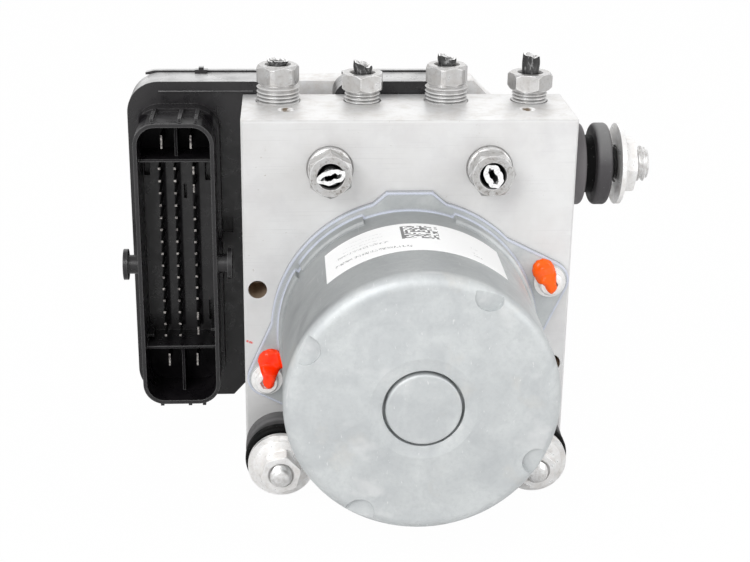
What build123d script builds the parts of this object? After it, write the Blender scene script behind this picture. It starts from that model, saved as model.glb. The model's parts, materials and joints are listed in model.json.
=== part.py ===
from build123d import *
import os
from math import cos, radians, sin, sqrt

# Anti-lock brake module: hydraulic valve block, pump motor and electronic control unit.
# All sizes are in millimetres. The origin is the centre of the block's bottom face.
# +X runs to the right, +Y from the motor towards the control unit, and +Z up to the top ports.

# Pump motor: its radius sets the size of the block that carries it
CAN_RADIUS = 34.8
FLANGE_WIDTH = 3.2
FLANGE_RADIUS = CAN_RADIUS + FLANGE_WIDTH
TAB_RISE = 1.9
FLANGE_TAB_HEIGHT = FLANGE_RADIUS + TAB_RISE
MARGIN_BELOW_MOTOR = 8.0
MARGIN_BESIDE_MOTOR = 7.4
MOTOR_HEIGHT = FLANGE_RADIUS + MARGIN_BELOW_MOTOR

# Valve block: one machined aluminium block that everything else is fixed to
PORT_ABOVE_MOTOR = 6.3
PORT_BELOW_TOP = 13.2
FRONT_PORT_Z = MOTOR_HEIGHT + FLANGE_TAB_HEIGHT + PORT_ABOVE_MOTOR
BLOCK_WIDTH = 2 * (FLANGE_RADIUS + MARGIN_BESIDE_MOTOR)
BLOCK_DEPTH = 31.0
BLOCK_HEIGHT = FRONT_PORT_Z + PORT_BELOW_TOP
BLOCK_EDGE = 0.5
LOWER_CORNER_RADIUS = 9.9
FRONT = -BLOCK_DEPTH / 2
REAR = BLOCK_DEPTH / 2
SIDE = BLOCK_WIDTH / 2
DIMPLE_X = 33.3
DIMPLE_Y = -2.9
DIMPLE_RADIUS = 2.4
DIMPLE_DEPTH = 1.0

# Gaps between pieces that fit together
FIT_GAP = 0.05
RUNNING_GAP = 0.03

# Brake pipe and its ports
PIPE_RADIUS = 2.375
PIPE_WALL = 0.7
FLARE_RADIUS = 3.4
FLARE_LENGTH = 2.4
NUT_BORE_GAP = 0.12
NUT_MOUTH_RADIUS = 3.7
NUT_MOUTH_DEPTH = 3.0
THREAD_PITCH = 1.0
THREAD_DEPTH = 0.45
THREAD_RINGS = 4
HEX_FLATS = 11.0
HEX_CHAMFER = 0.8
NUT_CHAMFER = 0.35
LARGE_THREAD = 6.0
SMALL_THREAD = 5.0
LARGE_NUT = dict(thread=LARGE_THREAD, engaged=10.0, exposed=3.3, collar=1.5, hexagon=5.5, bar=6.0)
SMALL_NUT = dict(thread=SMALL_THREAD, engaged=8.5, exposed=2.6, collar=0.7, hexagon=4.7, bar=6.35)
FRONT_NUT = dict(thread=LARGE_THREAD, engaged=9.0, exposed=1.2, collar=1.0, hexagon=5.8, bar=6.3)
PORT_MOUTH = 0.3
TOP_PORT_SPACING = 23.6
TOP_PORT_Y = 7.9
FRONT_PORT_X = 21.6

# Pump motor
CAN_WALL = 2.0
CAN_LENGTH = 52.9
CAN_RIM_ROUND = 3.2
CAN_SHOULDER = 1.1
CAN_SHOULDER_RADIUS = CAN_RADIUS + CAN_SHOULDER
CAN_SHOULDER_LENGTH = 5.0
FLANGE_THICKNESS = 2.0
FLANGE_TAB_TOP = 12.6
FLANGE_TAB_BASE = 24.0
EAR_REACH = 1.25
EAR_X = FLANGE_RADIUS + EAR_REACH
EAR_Z = 14.25
EAR_RADIUS = 5.5
EAR_UPPER_ANGLE = 44.0
EAR_LOWER_ANGLE = -3.0
STAKE_ANGLES = (62, 152, 242, 332)
STAKE_RADIUS = 3.7
STAKE_INSET = 1.8
STAKE_CENTRE = CAN_RADIUS - STAKE_INSET
STAKE_DEPTH = 1.0
STAKE_TILT = 9.0
CUP_RADIUS = 9.5
CUP_GAP = 0.75
CUP_PROUD = 0.4
END_DOME = 1.0
END_FLAT_INSET = 6.8
END_FLAT_RADIUS = CAN_RADIUS - END_FLAT_INSET
DISH_RADIUS = 13.5
DISH_DEPTH = 0.4

# Motor screws
SCREW_RADIUS = 2.5
SCREW_ENGAGED = 11.0
SCREW_FLANGE_RADIUS = 4.4
SCREW_FLANGE_HEIGHT = 1.2
SCREW_HEAD_RADIUS = 3.3
SCREW_HEAD_HEIGHT = 2.6
SCREW_SOCKET = 1.9
EAR_HOLE_GAP = 0.4

# Inside the motor
MAGNET_THICKNESS = 5.4
MAGNET_END_SPACE = 20.9
MAGNET_LENGTH = CAN_LENGTH - MAGNET_END_SPACE
MAGNET_ANGLE = 130.0
AIR_GAP = 0.7
SHAFT_RADIUS = 4.0
CORE_END_SPACE = 27.9
CORE_LENGTH = CAN_LENGTH - CORE_END_SPACE
CORE_SLOTS = 12
SLOT_WIDTH = 2.2
SLOT_DEPTH = 7.0
WINDING_LENGTH = 4.0
COMMUTATOR_RADIUS = 10.0
COMMUTATOR_LENGTH = 8.0
BEARING_WIDTH = 6.0
REAR_BEARING_RADIUS = 8.0
DRIVE_BEARING_RADIUS = 11.0
BRUSH_PLATE_THICKNESS = 2.6
BRUSH_WIDTH = 6.0
BRUSH_HEIGHT = 4.0
BRUSH_LENGTH = 9.0
HOLDER_WALL = 1.2
BRUSH_GAP = 0.1

# Pump: an eccentric on the motor shaft drives two opposed pistons
ECCENTRICITY = 0.75
ECCENTRIC_RADIUS = 5.6
ECCENTRIC_RING_RADIUS = 9.2
ECCENTRIC_WIDTH = 7.0
PUMP_DEPTH = 10.5
PUMP_CHAMBER_GAP = 0.8
CAM_CLEARANCE = 0.1
PISTON_RADIUS = 3.0
PISTON_END_SPACE = 21.9
PISTON_LENGTH = SIDE - PISTON_END_SPACE
PISTON_COLLAR_RADIUS = 4.4
PISTON_COLLAR = 1.4
SLEEVE_RADIUS = 6.4
SLEEVE_START = 19.0
SLEEVE_END_SPACE = 32.9
SLEEVE_LENGTH = SIDE - SLEEVE_END_SPACE
PLUG_RADIUS = 7.0
PLUG_LENGTH = 7.0
PLUG_RECESS = 0.6
PLUG_CUP_RADIUS = 5.2
PLUG_CUP_DEPTH = 3.0

# Low-pressure accumulators in the bottom of the block
ACCUMULATOR_X = 20.0
ACCUMULATOR_RADIUS = 8.5
ACCUMULATOR_DEPTH = 24.0
ACCUMULATOR_TRAVEL = 6.0
ACCUMULATOR_PISTON = 6.0
CAP_THICKNESS = 1.2
CAP_RIM = 3.0
CAP_RECESS = 0.4
CAP_VENT = 1.0

# Solenoid valves, four inlet and four outlet
VALVE_SPACING = 21.0
VALVE_X = [VALVE_SPACING * step for step in (-1.5, -0.5, 0.5, 1.5)]
VALVE_BELOW_TOP = 23.4
INLET_VALVE_Z = BLOCK_HEIGHT - VALVE_BELOW_TOP
OUTLET_VALVE_Z = INLET_VALVE_Z - VALVE_SPACING
VALVE_RADIUS = 6.0
VALVE_DEPTH = 13.0
VALVE_DOME_RADIUS = 3.8
VALVE_DOME_LENGTH = 13.0
VALVE_DOME_WALL = 0.7
VALVE_COLLAR = 1.2
PLUNGER_LENGTH = 9.0
PLUNGER_TRAVEL = 0.4
COIL_RADIUS = 8.6
COIL_LENGTH = 11.0

# Control unit housing
HOUSING_DEPTH = 12.0
HOUSING_WALL = 2.0
HOUSING_FLOOR = 2.4
CONNECTOR_BESIDE_BLOCK = 18.8
CONNECTOR_X = -SIDE - CONNECTOR_BESIDE_BLOCK
SHROUD_WIDTH = 22.2
HOUSING_MARGIN = 3.0
HOUSING_LEFT = CONNECTOR_X - SHROUD_WIDTH / 2 - HOUSING_MARGIN
HOUSING_RIGHT_INSET = 1.9
HOUSING_RIGHT = SIDE - HOUSING_RIGHT_INSET
HOUSING_ABOVE_BLOCK = 3.6
HOUSING_TOP = BLOCK_HEIGHT + HOUSING_ABOVE_BLOCK
HOUSING_BOTTOM = 11.8
VALVE_AREA_BOTTOM = 26.0
LEFT_LOBE_OVERLAP = 8.4
LEFT_LOBE_END = -SIDE + LEFT_LOBE_OVERLAP
RIGHT_LOBE_START = -19.6
RIGHT_LOBE_END = 17.0
VALLEY_BELOW_BLOCK = 6.4
VALLEY_HEIGHT = BLOCK_HEIGHT - VALLEY_BELOW_BLOCK
SHOULDER_BELOW_BLOCK = 15.4
RIGHT_SHOULDER_HEIGHT = BLOCK_HEIGHT - SHOULDER_BELOW_BLOCK
CORNER_LARGE = 9.0
CORNER_SMALL = 5.5
LIP_HEIGHT = 0.6
LIP_WIDTH = 2.0
LIP_TAPER = 2.5
LEDGE_RIB_OFFSET = 6.6
LEDGE_RIB_WIDTH = 1.4
LEDGE_RIB_HEIGHT = 1.9
LEDGE_RIB_BASE = 3.6
RIDGE_DROP = 2.7
RIDGE_WIDTH = 0.5
RIDGE_HEIGHT = 0.35
SIDE_RECESS_X = (12.2, 15.1)
SIDE_RECESS_Z = (2.0, 6.7)
SIDE_RECESS_DEPTH = 1.4
SEAL_WIDTH = 2.4
SEAL_DEPTH = 1.2
SEAL_INSET = 4.0

# Control unit cover
COVER_DEPTH = 11.0
COVER_WALL = 1.8
COVER_ABOVE_BLOCK = 1.1
COVER_TOP = BLOCK_HEIGHT + COVER_ABOVE_BLOCK
COVER_INSET = 1.2
COVER_RIGHT_TOP = 22.0
COVER_RIGHT_EDGE = 27.0
COVER_SLOPE = 5.0
COVER_STEP = 1.2
COVER_STEP_INSET = 7.0

# Connector shroud on the front of the housing
SHROUD_LEFT = CONNECTOR_X - SHROUD_WIDTH / 2
SHROUD_RIGHT = CONNECTOR_X + SHROUD_WIDTH / 2
SHROUD_BELOW_BLOCK = 3.8
SHROUD_TOP = BLOCK_HEIGHT - SHROUD_BELOW_BLOCK
SHROUD_BOTTOM = 17.6
SHROUD_RIM_Y = -3.5
SHROUD_WALL = 1.1
SHROUD_CORNER = 6.2
COLLAR_GROWTH = 1.0
COLLAR_FRONT = 9.8
SHROUD_FLOOR_Y = 13.0
SHROUD_RIB_HEIGHT = 1.2
SHROUD_RIB_WIDTH = 1.0
TOP_RIBS = (-5.8, 1.8, 6.3)
BOTTOM_RIBS = (-5.9, 2.2, 6.3)
CROSS_WALL = 0.8
CROSS_WALL_Y = 0.5
DIVIDER_Y = 4.0
UPPER_BAY = 11.5
LOWER_BAY = 16.3
UPPER_CROSS_WALL_Z = SHROUD_TOP - UPPER_BAY
LOWER_CROSS_WALL_Z = SHROUD_BOTTOM + LOWER_BAY
DIVIDER_OFFSET = 0.2
FLOOR_RECESS_DEPTH = 3.0
UPPER_RECESSES = (((-9.8, -8.2), (-7.8, -4.1)), ((7.6, 9.8), (-9.4, -4.1)), ((1.4, 2.2), (-14.7, -10.5)))
LOWER_RECESS = ((7.7, 9.8), (3.5, 9.8))
STEP_FRONT = 6.0
STEP_THICKNESS = 0.7
STEP_LENGTH = 2.2
RIGHT_STEP_RISE = 2.8
LEFT_STEP_RISE = 1.2
PEG_DROP = 2.2
PEG_Y = 0.0
PEG_STEM_RADIUS = 2.7
PEG_HEAD_RADIUS = 4.4
PEG_REACH = 4.2
PEG_HEAD = 1.3

# Connector pins
PIN_SIZE = 0.64
PIN_TIP_Y = 2.5
PIN_PITCH = 3.6
PIN_ROW_LENGTH = 15
PIN_ROWS = (-4.6, -0.3)
PIN_CENTRE_Z = (UPPER_CROSS_WALL_Z + LOWER_CROSS_WALL_Z) / 2
THIRD_ROW_X = CONNECTOR_X + 4.9
THIRD_ROW_PINS = 9
THIRD_ROW_PITCH = 3.45
THIRD_ROW_BLADES = (24.6, 19.4, -19.2, -23.8)
BLADE_THICKNESS = 0.5
THIRD_ROW_BLADE = 2.4
POWER_BLADE = 3.8
POWER_BLADES = (-3.7, 4.4)
POWER_BLADE_RISE = 4.8

# Electronics
BOARD_THICKNESS = 1.6
BOARD_GAP = 2.2
BOARD_INSET = 2.6
BOARD_EDGE_GAP = 0.8
CHIP_HEIGHT = 1.6
CONTROLLER_CENTRE = (-9.0, 53.0)
CONTROLLER_SIZE = (26.0, 22.0)
DRIVER_CENTRE = (21.0, 52.0)
DRIVER_SIZE = (18.0, 16.0)
RELAY_CENTRE = (-38.0, 53.0)
RELAY_SIZE = (12.0, 14.0)
RELAY_HEIGHT = 2.2
CAPACITORS_X = (-40.0, -30.0)
CAPACITOR_Z = 78.0
CAPACITOR_RADIUS = 3.2
CAPACITOR_HEIGHT = 2.4

# Contact that takes motor current through the block
MOTOR_CONTACT_RADIUS = 4.0
MOTOR_CONTACT_PIN = 1.2
MOTOR_CONTACT_SPACING = 3.6
BRUSH_LEAD_DEPTH = 3.0

# Rubber mounts: the groove takes the vehicle bracket
LOWER_MOUNT_X = SIDE - LOWER_CORNER_RADIUS
LOWER_MOUNT_Z = 10.4
SIDE_MOUNT_BELOW_TOP = 16.5
SIDE_MOUNT_Z = BLOCK_HEIGHT - SIDE_MOUNT_BELOW_TOP
LOWER_MOUNT = dict(rubber=10.0, outer=3.6, standoff=1.7, washer=9.2, washer_thickness=1.6,
                   stud=3.0, proud=2.0, nut_flange=7.6, nut_flats=10.0, nut_height=4.9)
SIDE_MOUNT = dict(rubber=11.5, outer=4.2, standoff=2.6, washer=11.4, washer_thickness=1.2,
                  stud=5.0, proud=3.9, nut_flange=8.7, nut_flats=14.0, nut_height=2.7)
MOUNT_INNER_FLANGE = 4.0
MOUNT_GROOVE = 3.0
MOUNT_GROOVE_DEPTH = 3.4
MOUNT_ROUND = 1.1
STUD_ENGAGED = 7.0
STUD_CHAMFER = 0.9
WASHER_HOLE_GAP = 0.3
NUT_FLANGE_HEIGHT = 1.2
NUT_RIM = 0.6

# Unused threaded holes beside the motor
SPARE_HOLE_INSET = 3.9
SPARE_HOLE_X = SIDE - SPARE_HOLE_INSET
SPARE_HOLE_Z = 11.6
SPARE_HOLE_RADIUS = 2.6
SPARE_HOLE_DEPTH = 12.0

# Screws that hold the control unit
UNIT_SCREW_RADIUS = 2.0
UNIT_SCREW_ENGAGED = 7.0
UNIT_SCREW_HEAD = 3.4
UNIT_SCREW_HEAD_HEIGHT = 2.4
UNIT_SCREW_INSET = 10.4
UNIT_SCREW_RISE = 8.0

# Blank label on the motor can
LABEL_THICKNESS = 0.12
LABEL_LENGTH = 20.9
LABEL_START = 13.2
LABEL_FROM_ANGLE = 49.8
LABEL_TO_ANGLE = 132.0

# Values worked out from the ones above
VALVE_MIDDLE_Z = (INLET_VALVE_Z + OUTLET_VALVE_Z) / 2
MOTOR_CONTACT_Z = VALVE_MIDDLE_Z - MOTOR_CONTACT_PIN
UNIT_SCREW_PLACES = [(side * VALVE_SPACING, VALVE_MIDDLE_Z) for side in (-1, 1)]
UNIT_SCREW_PLACES += [(side * (SIDE - UNIT_SCREW_INSET), VALVE_AREA_BOTTOM + UNIT_SCREW_RISE) for side in (-1, 1)]
CAN_INNER = CAN_RADIUS - CAN_WALL
CAN_FRONT = FRONT - CAN_LENGTH
MAGNET_OUTER = CAN_INNER - FIT_GAP
MAGNET_INNER = MAGNET_OUTER - MAGNET_THICKNESS
CORE_RADIUS = MAGNET_INNER - AIR_GAP
PUMP_Y = FRONT + PUMP_DEPTH
ECCENTRIC_SWEEP = ECCENTRIC_RING_RADIUS + ECCENTRICITY
CHAMBER_RADIUS = ECCENTRIC_SWEEP + PUMP_CHAMBER_GAP
CHAMBER_END = PUMP_Y + ECCENTRIC_WIDTH / 2 + 1.5
PISTON_FOOT = ECCENTRIC_SWEEP + CAM_CLEARANCE
HOUSING_BACK = REAR + HOUSING_DEPTH
COVER_BACK = HOUSING_BACK + COVER_DEPTH
PIPE_BORE = PIPE_RADIUS + NUT_BORE_GAP
TOP_PORTS_X = [TOP_PORT_SPACING * step for step in (-1.5, -0.5, 0.5, 1.5)]
BOARD_Y = REAR + HOUSING_FLOOR + COIL_LENGTH + BOARD_GAP


def along_x(radius, start, end, y, z):
    """A rod parallel to X."""
    return Pos((start + end) / 2, y, z) * Rot(0, 90, 0) * Cylinder(radius, abs(end - start))


def along_y(radius, start, end, x, z):
    """A rod parallel to Y."""
    return Pos(x, (start + end) / 2, z) * Rot(90, 0, 0) * Cylinder(radius, abs(end - start))


def along_z(radius, start, end, x, y):
    """A rod parallel to Z."""
    return Pos(x, y, (start + end) / 2) * Cylinder(radius, abs(end - start))


def block_between(x_range, y_range, z_range):
    """A box given by its lowest and highest coordinates."""
    spans = [high - low for low, high in (x_range, y_range, z_range)]
    centre = [(low + high) / 2 for low, high in (x_range, y_range, z_range)]
    return Pos(*centre) * Box(*spans)


def front_view(sketch, back, front):
    """A solid whose outline is drawn as seen from the front, from y = back to y = front."""
    return extrude(Plane.XZ.offset(-back) * sketch, amount=back - front)


def turned(points, height=MOTOR_HEIGHT):
    """A solid turned about the motor axis from (radius, y) points."""
    return Pos(0, 0, height) * revolve(make_face(Polyline(*points, close=True)), Axis.Y)


def round_corner(sketch, x, z, radius):
    """The sketch with the corner nearest to (x, z) rounded."""
    return fillet(sketch.vertices().sort_by_distance((x, z, 0))[0], radius)


def polar(radius, angle):
    """The point at this radius and angle about the origin."""
    return radius * cos(radians(angle)), radius * sin(radians(angle))


def spring(radius, wire, length, turns):
    """A coil spring that stands on the origin along +Z."""
    path = Helix((length - wire) / turns, length - wire, radius)
    section = Plane(path @ 0, z_dir=path % 0) * Circle(wire / 2)
    return Pos(0, 0, wire / 2) * sweep(section, path, is_frenet=True)


def saw_tooth(radius, start, rings):
    """Points (radius, z) of a few thread rings that rise from start."""
    points = []
    for ring in range(rings):
        base = start + ring * THREAD_PITCH
        points.append((radius - THREAD_DEPTH, base))
        points.append((radius, base + THREAD_PITCH / 2))
    points.append((radius - THREAD_DEPTH, start + rings * THREAD_PITCH))
    return points


def hexagon(flats, height, spin, bar, edge):
    """A hexagonal prism on the origin, milled from a round bar whose two ends are chamfered."""
    blank = Pos(0, 0, height / 2) * Cylinder(bar, height)
    blank = chamfer(blank.edges().filter_by(GeomType.CIRCLE), edge)
    return extrude(RegularPolygon(flats / 2, 6, major_radius=False, rotation=spin), height) & blank


def tube_nut(nut, spin):
    """A brake-pipe nut along +Z. Its thread enters the block at z = 0."""
    thread = nut["thread"]
    exposed = nut["exposed"]
    rings = saw_tooth(thread, exposed - THREAD_RINGS * THREAD_PITCH, THREAD_RINGS)
    points = [(PIPE_BORE, -nut["engaged"]), (thread - THREAD_DEPTH, -nut["engaged"])] + rings
    hex_start = exposed + nut["collar"]
    collar_edge = HEX_FLATS / 2 - THREAD_DEPTH
    points += [(thread, exposed + nut["collar"] / 2), (collar_edge, hex_start), (PIPE_BORE, hex_start)]
    profile = Plane.XZ * make_face(Polyline(*points, close=True))
    body = revolve(profile, Axis.Z)
    body += Pos(0, 0, hex_start) * hexagon(HEX_FLATS, nut["hexagon"], spin, nut["bar"], HEX_CHAMFER)
    top = nut_top(nut)
    body -= along_z(PIPE_BORE, hex_start, top, 0, 0)
    mouth = Pos(0, 0, top - NUT_MOUTH_DEPTH / 2)
    return body - mouth * Cone(PIPE_BORE, NUT_MOUTH_RADIUS, NUT_MOUTH_DEPTH)


def nut_top(nut):
    """Height of a tube nut's upper face above the block."""
    return nut["exposed"] + nut["collar"] + nut["hexagon"]


def crushed_pipe(nut, proud, width, thickness, turn, slope):
    """A pipe stub along +Z that was cut and squeezed flat above its nut."""
    flare_top = -nut["engaged"] - FIT_GAP
    start = flare_top - FLARE_LENGTH
    bend = nut_top(nut) - NUT_MOUTH_DEPTH
    end = nut_top(nut) + proud
    inner = PIPE_RADIUS - PIPE_WALL

    def squeezed(shrink):
        lower = Pos(0, 0, bend) * Circle(PIPE_RADIUS - shrink)
        flat = Rot(0, 0, turn) * Ellipse(width / 2 - shrink, thickness / 2 - shrink)
        return loft([lower, Pos(0, 0, end) * flat])

    outer = along_z(PIPE_RADIUS, start, bend, 0, 0) + squeezed(0)
    outer += Pos(0, 0, start + FLARE_LENGTH / 2) * Cone(PIPE_RADIUS, FLARE_RADIUS, FLARE_LENGTH)
    stub = outer - along_z(inner, start, bend, 0, 0) - squeezed(PIPE_WALL)
    knife = Pos(0, 0, end) * Rot(0, slope, 0) * Pos(0, 0, width) * Box(4 * width, 4 * width, 2 * width)
    return stub - knife


def top_port(index):
    """Pattern of nut that a top port takes."""
    return LARGE_NUT if index % 2 == 0 else SMALL_NUT


def port_hole(nut):
    """The hole for one tube nut along -Z from the block's surface."""
    radius = nut["thread"] + FIT_GAP
    depth = nut["engaged"] + FLARE_LENGTH + 2 * FIT_GAP
    hole = along_z(radius, -depth, 0, 0, 0)
    mouth = Pos(0, 0, -PORT_MOUTH / 2) * Cone(radius, radius + PORT_MOUTH, PORT_MOUTH)
    passage = along_z(PIPE_RADIUS - PIPE_WALL, -depth - 4, -depth, 0, 0)
    return hole + mouth + passage


def top_port_location(index):
    return Pos(TOP_PORTS_X[index], TOP_PORT_Y, BLOCK_HEIGHT)


def front_port_location(side):
    return Pos(side * FRONT_PORT_X, FRONT, FRONT_PORT_Z) * Rot(90, 0, 0)


def motor_screw_place(side):
    return side * EAR_X, MOTOR_HEIGHT + side * EAR_Z


def valve_places():
    """Centre and kind of each valve."""
    places = [(x, OUTLET_VALVE_Z) for x in VALVE_X]
    return places + [(x, INLET_VALVE_Z) for x in VALVE_X]


def valve_block():
    outline = Pos(0, BLOCK_HEIGHT / 2) * Rectangle(BLOCK_WIDTH, BLOCK_HEIGHT)
    for side in (-1, 1):
        outline = round_corner(outline, side * SIDE, 0, LOWER_CORNER_RADIUS)
    block = front_view(outline, REAR, FRONT)
    block = chamfer(block.edges().filter_by(Axis.Y, reverse=True), BLOCK_EDGE)
    for index in range(4):
        block -= top_port_location(index) * port_hole(top_port(index))
    for side in (-1, 1):
        dimple = Pos(side * DIMPLE_X, DIMPLE_Y, BLOCK_HEIGHT - DIMPLE_DEPTH / 2)
        block -= dimple * Cone(DIMPLE_RADIUS / 3, DIMPLE_RADIUS, DIMPLE_DEPTH)
    for side in (-1, 1):
        block -= front_port_location(side) * port_hole(FRONT_NUT)
        x, z = motor_screw_place(side)
        block -= along_y(SCREW_RADIUS + FIT_GAP, FRONT, FRONT + SCREW_ENGAGED + 1, x, z)
        spare_z = MOTOR_HEIGHT - side * SPARE_HOLE_Z
        block -= along_y(SPARE_HOLE_RADIUS, FRONT, FRONT + SPARE_HOLE_DEPTH, side * SPARE_HOLE_X, spare_z)
        stud_end = FRONT + STUD_ENGAGED + FIT_GAP
        block -= along_y(LOWER_MOUNT["stud"] + FIT_GAP, FRONT, stud_end, side * LOWER_MOUNT_X, LOWER_MOUNT_Z)
        block -= along_x(SLEEVE_RADIUS + FIT_GAP, side * SLEEVE_START, side * SIDE, PUMP_Y, MOTOR_HEIGHT)
        block -= along_x(PISTON_COLLAR_RADIUS, 0, side * SLEEVE_START, PUMP_Y, MOTOR_HEIGHT)
        plug_start = SIDE - PLUG_LENGTH - PLUG_RECESS
        block -= along_x(PLUG_RADIUS + FIT_GAP, side * plug_start, side * SIDE, PUMP_Y, MOTOR_HEIGHT)
        radius = ACCUMULATOR_RADIUS + FIT_GAP
        block -= along_z(radius, 0, ACCUMULATOR_DEPTH, side * ACCUMULATOR_X, 0)
    block -= along_x(SIDE_MOUNT["stud"] + FIT_GAP, SIDE - STUD_ENGAGED - FIT_GAP, SIDE, 0, SIDE_MOUNT_Z)
    bearing_end = FRONT + BEARING_WIDTH
    block -= along_y(DRIVE_BEARING_RADIUS + FIT_GAP, FRONT, bearing_end, 0, MOTOR_HEIGHT)
    block -= along_y(CHAMBER_RADIUS, bearing_end, CHAMBER_END, 0, MOTOR_HEIGHT)
    block -= along_y(MOTOR_CONTACT_RADIUS + FIT_GAP, FRONT, REAR, 0, MOTOR_CONTACT_Z)
    for x, z in valve_places():
        block -= along_y(VALVE_RADIUS + FIT_GAP, REAR - VALVE_DEPTH - FIT_GAP, REAR, x, z)
    for x, z in UNIT_SCREW_PLACES:
        block -= along_y(UNIT_SCREW_RADIUS + FIT_GAP, REAR - UNIT_SCREW_ENGAGED - 1, REAR, x, z)
    return block


def tube_nuts_top(nut, spins):
    """The two top nuts of one thread size."""
    first = 0 if nut is LARGE_NUT else 1
    places = (first, first + 2)
    nuts = [top_port_location(place) * tube_nut(nut, spin) for place, spin in zip(places, spins)]
    return Compound(children=nuts)


def tube_nuts_front():
    nuts = [front_port_location(side) * tube_nut(FRONT_NUT, spin) for side, spin in ((-1, 30), (1, 3))]
    return Compound(children=nuts)


def pipe_stub_top(index, proud, width, thickness, turn, slope):
    stub = crushed_pipe(top_port(index), proud, width, thickness, turn, slope)
    return top_port_location(index) * stub


def pipe_end_front(side, proud, width, thickness, turn):
    return front_port_location(side) * crushed_pipe(FRONT_NUT, proud, width, thickness, turn, 0)


def motor_ear(side):
    """Outline of the flange ear that takes one motor screw."""
    reach = FLANGE_RADIUS - 1
    upper = Pos(*polar(reach, EAR_UPPER_ANGLE)) * Circle(1)
    lower = Pos(*polar(reach, EAR_LOWER_ANGLE)) * Circle(1)
    tip = Pos(EAR_X, EAR_Z) * Circle(EAR_RADIUS)
    edges = upper.edges() + lower.edges() + tip.edges()
    return Rot(0, 0, 0 if side > 0 else 180) * make_hull(edges)


def motor_flange():
    top = FLANGE_TAB_HEIGHT
    base = FLANGE_RADIUS - 3
    half_top = FLANGE_TAB_TOP / 2
    half_base = FLANGE_TAB_BASE / 2
    tab = Polygon((-half_base, base), (half_base, base), (half_top, top), (-half_top, top), align=None)
    outline = Circle(FLANGE_RADIUS) + tab + motor_ear(-1) + motor_ear(1)
    for side in (-1, 1):
        outline -= Pos(side * EAR_X, side * EAR_Z) * Circle(SCREW_RADIUS + EAR_HOLE_GAP)
    return front_view(Pos(0, MOTOR_HEIGHT) * outline, FRONT, FRONT - FLANGE_THICKNESS)


def can_shoulder():
    """The wider stretch next to the flange, cut away at the top and at two notches."""
    front = FRONT - FLANGE_THICKNESS - CAN_SHOULDER_LENGTH
    ring = turned([(CAN_INNER, FRONT), (CAN_SHOULDER_RADIUS, FRONT), (CAN_SHOULDER_RADIUS, front + 0.6),
                   (CAN_SHOULDER_RADIUS - 0.6, front), (CAN_INNER, front)])
    relief_back = FRONT - FLANGE_THICKNESS
    relief_front = front - 1
    reach = CAN_SHOULDER_RADIUS + 2
    for start, end in ((70, 111), (146, 150), (326, 330)):
        corners = [(0, 0), polar(reach, start), polar(reach / cos(radians(end - start) / 2), (start + end) / 2),
                   polar(reach, end)]
        wedge = front_view(Pos(0, MOTOR_HEIGHT) * Polygon(*corners, align=None), relief_back, relief_front)
        ring -= wedge - along_y(CAN_RADIUS, relief_back, relief_front, 0, MOTOR_HEIGHT)
    return ring


def motor_can():
    front = CAN_FRONT
    cup_hole = CUP_RADIUS + CUP_GAP
    crown = front - END_DOME
    profile = make_face(Polyline(
        (CAN_INNER, FRONT), (CAN_RADIUS, FRONT), (CAN_RADIUS, front), (END_FLAT_RADIUS, front),
        (DISH_RADIUS, crown), (cup_hole, crown + DISH_DEPTH), (cup_hole, front + CAN_WALL),
        (CAN_INNER, front + CAN_WALL), close=True))
    profile = round_corner(profile, CAN_RADIUS, front, CAN_RIM_ROUND)
    profile = round_corner(profile, CAN_INNER, front + CAN_WALL, CAN_RIM_ROUND - CAN_WALL / 2)
    can = Pos(0, 0, MOTOR_HEIGHT) * revolve(profile, Axis.Y)
    can += motor_flange() + can_shoulder()
    can -= along_y(CAN_INNER, FRONT, FRONT - FLANGE_THICKNESS - 1, 0, MOTOR_HEIGHT)
    punch = Rot(0, 90 - STAKE_TILT, 0) * Pos(0, 0, -STAKE_RADIUS) * Cylinder(STAKE_RADIUS, 2 * STAKE_RADIUS)
    for angle in STAKE_ANGLES:
        turn = Pos(0, front + STAKE_DEPTH, MOTOR_HEIGHT) * Rot(0, -angle, 0) * Pos(STAKE_CENTRE, 0, 0)
        can -= turn * Rot(0, 0, 90) * punch
    return can


def bearing_cup():
    """Closed cup in the can's end that holds the rear bearing."""
    front = CAN_FRONT - END_DOME - CUP_PROUD
    rim = CUP_RADIUS + CUP_GAP + 1.5
    seat = CAN_FRONT + CAN_WALL
    bearing = REAR_BEARING_RADIUS + FIT_GAP
    depth = seat + BEARING_WIDTH - 1
    profile = make_face(Polyline(
        (0, front), (CUP_RADIUS, front), (CUP_RADIUS, seat), (rim, seat), (rim, seat + 1),
        (CUP_RADIUS, seat + 1), (CUP_RADIUS, depth), (bearing, depth), (bearing, seat), (0, seat), close=True))
    profile = round_corner(profile, CUP_RADIUS, front, 0.6)
    return Pos(0, 0, MOTOR_HEIGHT) * revolve(profile, Axis.Y)


def motor_screw(side):
    x, z = motor_screw_place(side)
    seat = FRONT - FLANGE_THICKNESS
    head_front = seat - SCREW_FLANGE_HEIGHT - SCREW_HEAD_HEIGHT
    screw = along_y(SCREW_RADIUS, seat, FRONT + SCREW_ENGAGED, x, z)
    screw += along_y(SCREW_FLANGE_RADIUS, seat, seat - SCREW_FLANGE_HEIGHT, x, z)
    head = along_y(SCREW_HEAD_RADIUS, seat, head_front, x, z)
    head = chamfer(head.edges().sort_by(Axis.Y)[0], 0.5)
    socket = Pos(x, z) * RegularPolygon(SCREW_SOCKET, 6)
    return screw + head - front_view(socket, head_front + 1.6, head_front)


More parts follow.
